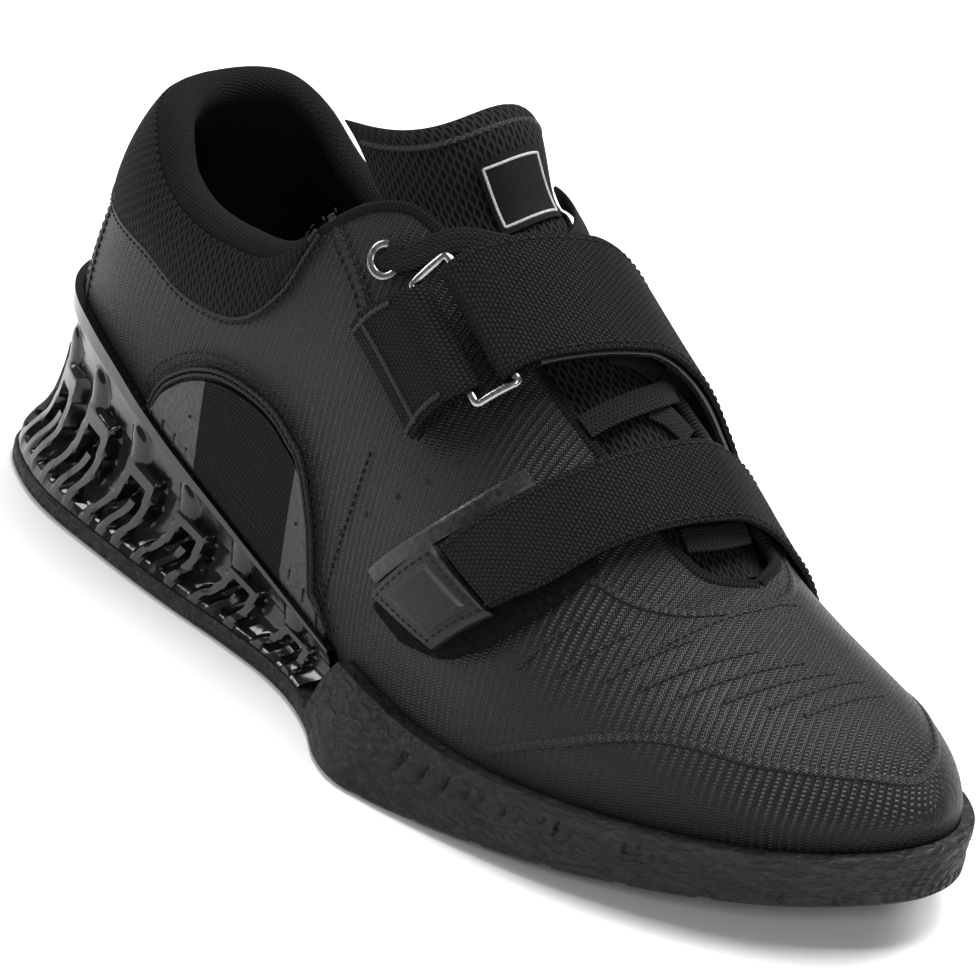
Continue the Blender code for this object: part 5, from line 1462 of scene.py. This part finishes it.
for side, word in ((LATERAL, "lateral"), (MEDIAL, "medial")):
    along, across = EYELET_PLACE
    turn = float(turn_of(along))
    centre = on_upper(turn, side * across, CLEARANCE)
    normal = unit(on_upper(turn, side * across, 1.0) - on_upper(turn, side * across, 0.0))
    first = unit(np.cross(normal, [0.0, 0.0, 1.0]))
    second = np.cross(normal, first)
    angle = np.arange(RING_STEPS) * 2 * math.pi / RING_STEPS
    around_hole = np.cos(angle)[:, None] * first + np.sin(angle)[:, None] * second
    bend = np.linspace(0, 2 * math.pi, BEND_STEPS, endpoint=False)
    width, mid = (EYELET_RADIUS - EYELET_HOLE) / 2, (EYELET_RADIUS + EYELET_HOLE) / 2
    points = []
    for b in bend:
        rise = EYELET_RISE / 2 * (1 + math.sin(b))
        points.append(centre + around_hole * (mid + width * math.cos(b)) + normal * rise)
    faces = []
    for k in range(BEND_STEPS):
        for i in range(RING_STEPS):
            j, here, there = (i + 1) % RING_STEPS, k * RING_STEPS, (k + 1) % BEND_STEPS * RING_STEPS
            faces.append((here + i, here + j, there + j, there + i))
    mount(make_piece("eyelet_ring_" + word, np.concatenate(points), faces, [gunmetal], sharp=60.0),
          "steel", "eyelet_" + word)
    # The eyelet's hole is a dark disc of painted shade.
    repeat("eyelet_hole_" + word, [(centre[None] - normal * 0.0001, normal[None])], 0.0,
           (EYELET_HOLE * 2.1, EYELET_HOLE * 2.1, 0.0004), hole_shade, "shell_fabric", bead_nodes)

# Straps: two bands of heavy ribbed webbing with sewn selvedges. The upper one comes round the ring's bar
# and back over itself, the lower one ends in the pull tab.
ACROSS_LENGTH = 0.096
STRAP_THICKNESS = 0.0018
WIRE_RADIUS = 0.0011
STRAP_BAR = (-0.330, 0.0088)
HOLDER_BAR = (-0.430, 0.0066)
# Straps and trims: shares of the upper's length of their rear and front edges, at places across it
UPPER_STRAP_EDGES = (
    ("across", "rear", "front"),
    (-0.360, 0.4885, 0.5750),
    (-0.323, 0.489, 0.577),
    (-0.170, 0.506, 0.595),
    (0.000, 0.527, 0.614),
    (0.250, 0.548, 0.636),
    (0.550, 0.566, 0.655),
    (0.850, 0.578, 0.668),
    (1.300, 0.584, 0.676),
)
# Paths of the bands: places across the upper, and how high the band's middle lies over it
UPPER_STRAP_LOWER = (
    (1.280, -0.0052),
    (1.000, -0.0052),
    (0.700, -0.0051),
    (0.400, -0.0047),
    (0.150, -0.0024),
    (0.000, -0.0004),
    (-0.220, 0.0),
)
UPPER_STRAP_UPPER = (
    (-0.200, -0.0006), (0.000, -0.0020), (0.150, -0.0044), (0.400, -0.0070), (0.700, -0.0075),
    (0.800, -0.0076),
)
LOWER_STRAP_EDGES = (
    ("across", "rear", "front"),
    (-0.680, 0.601, 0.668),
    (-0.530, 0.625, 0.694),
    (-0.380, 0.645, 0.706),
    (-0.190, 0.662, 0.719),
    (0.000, 0.674, 0.732),
    (0.300, 0.688, 0.747),
    (0.650, 0.696, 0.757),
    (1.000, 0.698, 0.760),
    (1.300, 0.698, 0.760),
)
LOWER_STRAP_PATH = (
    (1.280, 0.0016),
    (1.000, 0.0016),
    (0.700, 0.0016),
    (0.400, 0.0018),
    (0.200, 0.0034),
    (0.050, 0.0050),
    (-0.250, 0.0050),
    (-0.450, 0.0038),
    (-0.667, 0.0036),
)


def strap_edges(table, across):
    """Shares of the length of a band's rear and front edges at places across the upper."""
    rows = np.array(table[1:], float)
    return tuple(smooth(rows[:, 0], rows[:, k], across) for k in (1, 2))


def wrap_path(across, out, radius, start, end, turning):
    """Points on an arc round a wire at a place across the upper, as places across and heights above it."""
    angles = np.radians(np.linspace(start, end, turning))
    return [(across + radius * math.cos(a) / ACROSS_LENGTH, out + radius * math.sin(a)) for a in angles]


def dense(path, most=0.085):
    """A path across the upper with points between those that lie far apart."""
    points = [path[0]]
    for before, after in zip(path, path[1:]):
        pieces = max(1, math.ceil(abs(after[0] - before[0]) / most))
        for k in range(1, pieces + 1):
            points.append(tuple(np.array(before) + (np.array(after) - np.array(before)) * k / pieces))
    return points


def band_grid(table, path, thickness, columns):
    """Outer and inner faces of a band, its normals, and metres along and across it."""
    path = np.asarray(path, float)
    rear, front = strap_edges(table, path[:, 0])
    share = np.linspace(0.0, 1.0, columns + 1)
    along = rear[:, None] + (front - rear)[:, None] * share
    across = np.repeat(path[:, :1], columns + 1, axis=1)
    middle = on_upper(turn_of(along), across, np.repeat(path[:, 1:], columns + 1, axis=1))
    normal = unit(np.cross(np.gradient(middle, axis=0), np.gradient(middle, axis=1)))
    thin = thickness / 2 * np.sqrt(1 - 0.7 * np.abs(2 * share - 1) ** 10)
    metres = np.zeros(middle.shape[:2] + (2,))
    centre = middle[:, columns // 2]
    metres[1:, :, 1] = np.cumsum(np.linalg.norm(np.diff(centre, axis=0), axis=1))[:, None]
    metres[:, 1:, 0] = np.cumsum(np.linalg.norm(np.diff(middle, axis=1), axis=-1), axis=1)
    return middle + normal * thin[None, :, None], middle - normal * thin[None, :, None], normal, metres


def round_path(path, pitch=0.012):
    """A band's path with many points, its corners eased."""
    fine_path = np.array(dense(path, pitch))
    for _ in range(3):
        fine_path[1:-1] = (fine_path[:-2] + 2 * fine_path[1:-1] + fine_path[2:]) / 4
    return fine_path


def edge_rows(outer, normal, insets):
    """Lines for stitches along a band's edges, at columns in from each edge."""
    return [(outer[:, c] + normal[:, c] * 0.00005, normal[:, c]) for c in insets]


webbing, tree, surface = paint("ribbed_webbing", (0.016, 0.016, 0.017), 0.72, specular_ior_level=0.1)
cord = pattern(tree, lumps, cloth_place(tree), Wide=0.00135, Tall=0.0009, Shift=0.5)
fibre = speckle(tree, object_place(tree), 2200.0, 2.0)
# Darker between the rib's lumps and lighter on them: painted shade in the hollows of the webbing, with random fibre
# tone over it.
vary(tree, surface, "Base Color", cord["Height"] * 0.85 + fibre * 0.2, (0.000825, 0.000825, 0.000825),
     (0.01155, 0.01155, 0.0121))
raise_by(tree, surface, fibre, 0.0001, raise_by(tree, surface, cord["Height"], 0.0006))
bar, height = STRAP_BAR
around_bar = WIRE_RADIUS + CLEARANCE + STRAP_THICKNESS / 2
lower = [(a, height - around_bar + drop) for a, drop in UPPER_STRAP_LOWER]
fold = wrap_path(bar, height, around_bar, -90, -270, 25)
upper = [(a, height + around_bar + drop) for a, drop in UPPER_STRAP_UPPER]
path = np.concatenate([round_path(lower + fold[:1]), np.array(fold[1:-1]), round_path(fold[-1:] + upper)])
outer, inner, normal, metres = band_grid(UPPER_STRAP_EDGES, path, STRAP_THICKNESS, 40)
mount(sheet_piece("upper_strap_band", outer, inner, [webbing], metres), "webbing", "upper_strap")
glossy_tape, tree, surface = paint("glossy_tape", (0.012, 0.012, 0.013), 0.22)
tape_grain = speckle(tree, object_place(tree), 300.0)
vary(tree, surface, "Roughness", tape_grain.between(0.3, 0.7), 0.16, 0.30)
low_count = len(round_path(lower + fold[:1]))
tape_run = slice(4, low_count - 6)
tape_normals = normal[tape_run, 39]
faces_up = tape_normals[len(tape_normals) // 2, 2] > 0
tape_points = outer[tape_run, 39] if faces_up else inner[tape_run, 39]
tape_normals = tape_normals if faces_up else -tape_normals
tape = roll("strap_edge_tape", tape_points, tape_normals, 0.0018, 0.0006, glossy_tape)
mount(tape, "webbing")
rows = []
split = len(path) - len(round_path(fold[-1:] + upper))
rows += edge_rows(inner[split:], -normal[split:], (2, 38))
path = round_path(LOWER_STRAP_PATH)
outer, inner, normal, metres = band_grid(LOWER_STRAP_EDGES, path, STRAP_THICKNESS, 32)
mount(sheet_piece("lower_strap_band", outer, inner, [webbing], metres), "webbing", "lower_strap")
facing = 1.0 if float((normal[len(path) // 2, 16] * (0, 0, 1)).sum()) > 0 else -1.0
rows += edge_rows(outer if facing > 0 else inner, normal * facing, (2, 30))
repeat("strap_stitches", rows, 0.0024, (0.0018, 0.0006, 0.0005), thread, "webbing")

# Ring and its holder: a polished steel wire bent to a rounded rectangle, held by a folded loop of basket-
# weave webbing that is sewn down round its frame.
HOLDER_THICKNESS = 0.0016
RING_REAR = (0.473, 0.482)
RING_FRONT = (0.570, 0.583)
HOLDER_START = -0.60
HOLDER_EDGES = (
    ("across", "rear", "front"),
    (-0.620, 0.428, 0.530),
    (-0.540, 0.447, 0.540),
    (-0.410, 0.480, 0.562),
    (-0.380, 0.485, 0.565),
)
corners = ((RING_REAR[0], HOLDER_BAR), (RING_FRONT[0], HOLDER_BAR), (RING_FRONT[1], STRAP_BAR),
           (RING_REAR[1], STRAP_BAR))
spots = []
for k, (along, (across, out)) in enumerate(corners):
    here = np.array([along, across, out])
    before = np.array([corners[k - 1][0], *corners[k - 1][1]])
    after = np.array([corners[(k + 1) % 4][0], *corners[(k + 1) % 4][1]])
    near, far = (0.12, 0.28) if k % 2 == 0 else (0.28, 0.12)
    for share in (1.0, 0.55, 0.2):
        spots.append(here + (before - here) * share * far)
    for share in (0.2, 0.55, 1.0):
        spots.append(here + (after - here) * share * near)
    spots.append(here + (after - here) * 0.5)
spots = np.array(spots)
for _ in range(3):
    ahead = np.roll(spots, -1, axis=0)
    spots = np.stack([0.75 * spots + 0.25 * ahead, 0.25 * spots + 0.75 * ahead], 1).reshape(-1, 3)
wire = on_upper(turn_of(spots[:, 0]), spots[:, 1], spots[:, 2])
ahead = unit(np.roll(wire, -1, axis=0) - np.roll(wire, 1, axis=0))
outward = wire - wire.mean(axis=0)
outward = unit(outward - (outward * ahead).sum(axis=1, keepdims=True) * ahead)
other = np.cross(ahead, outward)
angle = np.arange(16) * 2 * math.pi / 16
tube = wire[None] + WIRE_RADIUS * (np.cos(angle)[:, None, None] * outward + np.sin(angle)[:, None, None]
                                   * other)
tube = tube.transpose(1, 0, 2)
faces = []
for i in range(len(wire)):
    for j in range(16):
        k, m = (i + 1) % len(wire), (j + 1) % 16
        faces.append((i * 16 + j, k * 16 + j, k * 16 + m, i * 16 + m))
mount(make_piece("ring_wire", tube.reshape(-1, 3), faces, [steel], sharp=60.0), "steel", "wire_ring")
basket, tree, surface = paint("basket_webbing", (0.018, 0.018, 0.019), 0.7, specular_ior_level=0.1)
check = pattern(tree, lumps, cloth_place(tree), Wide=0.00115, Tall=0.00105, Shift=0.5)
# Darker between the checks and lighter on them: painted shade in the hollows of the basket weave.
vary(tree, surface, "Base Color", check["Height"] * 0.9, (0.000825, 0.000825, 0.000825), (0.0132, 0.0132, 0.0143))
raise_by(tree, surface, check["Height"], 0.0007)
bar, height = HOLDER_BAR
around_bar = WIRE_RADIUS + CLEARANCE + HOLDER_THICKNESS / 2
lower = [(HOLDER_START, CLEARANCE + HOLDER_THICKNESS / 2), (bar - 0.05, height - around_bar - 0.0002)]
fold = wrap_path(bar, height, around_bar, -90, 90, 21)
upper = [(bar - 0.05, height + around_bar - 0.0002), (HOLDER_START, CLEARANCE + 1.9 * HOLDER_THICKNESS)]
path = np.concatenate([round_path(lower), np.array(fold), round_path(upper)])
outer, inner, normal, metres = band_grid(HOLDER_EDGES, path, HOLDER_THICKNESS, 30)
mount(sheet_piece("ring_holder_loop", outer, inner, [basket], metres), "webbing", "ring_holder")
face = slice(len(path) - len(round_path(upper)), None)
probe = on_upper(turn_of(0.5), -0.55, 0.01) - on_upper(turn_of(0.5), -0.55, 0.0)
top_face = outer if float((normal[-3, 15] * probe).sum()) > 0 else inner
lift_way = normal[face] if top_face is outer else -normal[face]
frame_line = [(top_face[face][:, c] + lift_way[:, c] * 0.00005, lift_way[:, c]) for c in (2, 28)]
frame_line.append((top_face[-4, 1:30] + lift_way[-4, 1:30] * 0.00005, lift_way[-4, 1:30]))
rolls = [roll("holder_edge", points, normals, 0.0013, 0.0004, twill) for points, normals in frame_line]
join("holder_frame", rolls, "webbing")

# Trims: the raised welt behind the lower strap, the soft patch of the fastening under it, and the rubber
# pull tab with its raised block.
WELT_THICKNESS = 0.0012
LOOP_THICKNESS = 0.0009
TAB_CORNERS = ((0.545, -0.872), (0.594, -0.685), (0.673, -0.676), (0.634, -0.842))
TAB_UNDER = 0.0017
TAB_THICKNESS = 0.0026
TAB_EDGE_DROP = 0.0009
TAB_BLOCK_RISE = 0.0013
WELT_EDGES = (
    ("across", "rear", "front"),
    (-0.860, 0.525, 0.540),
    (-0.670, 0.580, 0.595),
    (-0.490, 0.614, 0.629),
    (-0.410, 0.624, 0.639),
)
WELT_PATH = ((-0.860, 0.0011), (-0.410, 0.0011))
LOOP_EDGES = (
    ("across", "rear", "front"),
    (-0.900, 0.542, 0.590),
    (-0.860, 0.549, 0.636),
    (-0.800, 0.566, 0.664),
    (-0.670, 0.604, 0.692),
    (-0.500, 0.637, 0.710),
    (-0.380, 0.652, 0.712),
)
LOOP_PATH = ((-0.900, 0.0011), (-0.380, 0.0011))
outer, inner, normal, metres = band_grid(WELT_EDGES, round_path(WELT_PATH), WELT_THICKNESS, 8)
mount(sheet_piece("panel_welt", outer, inner, [leather], metres), "shell_fabric", "strap_welt")
felt, tree, surface = paint("loop_felt", (0.008, 0.008, 0.0085), 0.95, specular_ior_level=0.1)
fuzz = speckle(tree, object_place(tree), 1100.0, 6.0, 1.5)
vary(tree, surface, "Base Color", fuzz.between(0.35, 0.75), (0.00055, 0.00055, 0.00055),
     (0.0077, 0.0077, 0.00825))
raise_by(tree, surface, fuzz, 0.0008)
outer, inner, normal, metres = band_grid(LOOP_EDGES, round_path(LOOP_PATH), LOOP_THICKNESS, 20)
mount(sheet_piece("soft_patch", outer, inner, [felt], metres), "webbing", "loop_patch")
tab_rubber, tree, surface = paint("tab_rubber", (0.009, 0.009, 0.0095), 0.5, specular_ior_level=0.35)
skin = speckle(tree, object_place(tree), 1300.0, 3.0)
vary(tree, surface, "Roughness", skin.between(0.3, 0.7), 0.48, 0.66)
vary(tree, surface, "Base Color", skin.between(0.2, 0.8), (0.0066, 0.0066, 0.00715),
     (0.01045, 0.01045, 0.011))
raise_by(tree, surface, skin, 0.00012)
shares = np.unique(np.concatenate([np.linspace(0, 1, 41),
                                   [0.02, 0.04, 0.19, 0.21, 0.79, 0.81, 0.96, 0.98]]))
p, q = np.meshgrid(shares, shares, indexing="ij")
a, b, c, d = (np.array(corner) for corner in TAB_CORNERS)


def tab_spot(p, q):
    """A place on the tab by its shares along and across."""
    p, q = np.asarray(p, float)[..., None], np.asarray(q, float)[..., None]
    return a * (1 - p) * (1 - q) + b * p * (1 - q) + c * p * q + d * (1 - p) * q


spot = tab_spot(p, q)
edge = np.minimum(np.minimum(p, 1 - p), np.minimum(q, 1 - q))
top = TAB_UNDER + TAB_THICKNESS - TAB_EDGE_DROP * (1 - step(0.0, 0.05,
                                                            edge)) + TAB_BLOCK_RISE * step(0.17, 0.23, edge)
turn = turn_of(spot[..., 0])
tab = sheet_piece("pull_tab", on_upper(turn, spot[..., 1], top),
                  on_upper(turn, spot[..., 1], np.full(p.shape, TAB_UNDER)),
                  [tab_rubber], sharp=50.0)
mount(tab, "rubber", "strap_tab")
way = np.linspace(0.09, 0.91, 60)
rows = []
for p, q in ((way, 0.09 + way * 0), (way, 0.91 + way * 0), (0.09 + way * 0, way), (0.91 + way * 0, way)):
    spot = tab_spot(p, q)
    points = on_upper(turn_of(spot[:, 0]), spot[:, 1], TAB_UNDER + TAB_THICKNESS)
    rows.append((points, unit(on_upper(turn_of(spot[:, 0]), spot[:, 1], 1.0) - points)))
repeat("tab_stitches", rows, 0.0022, STITCH, thread, "webbing")
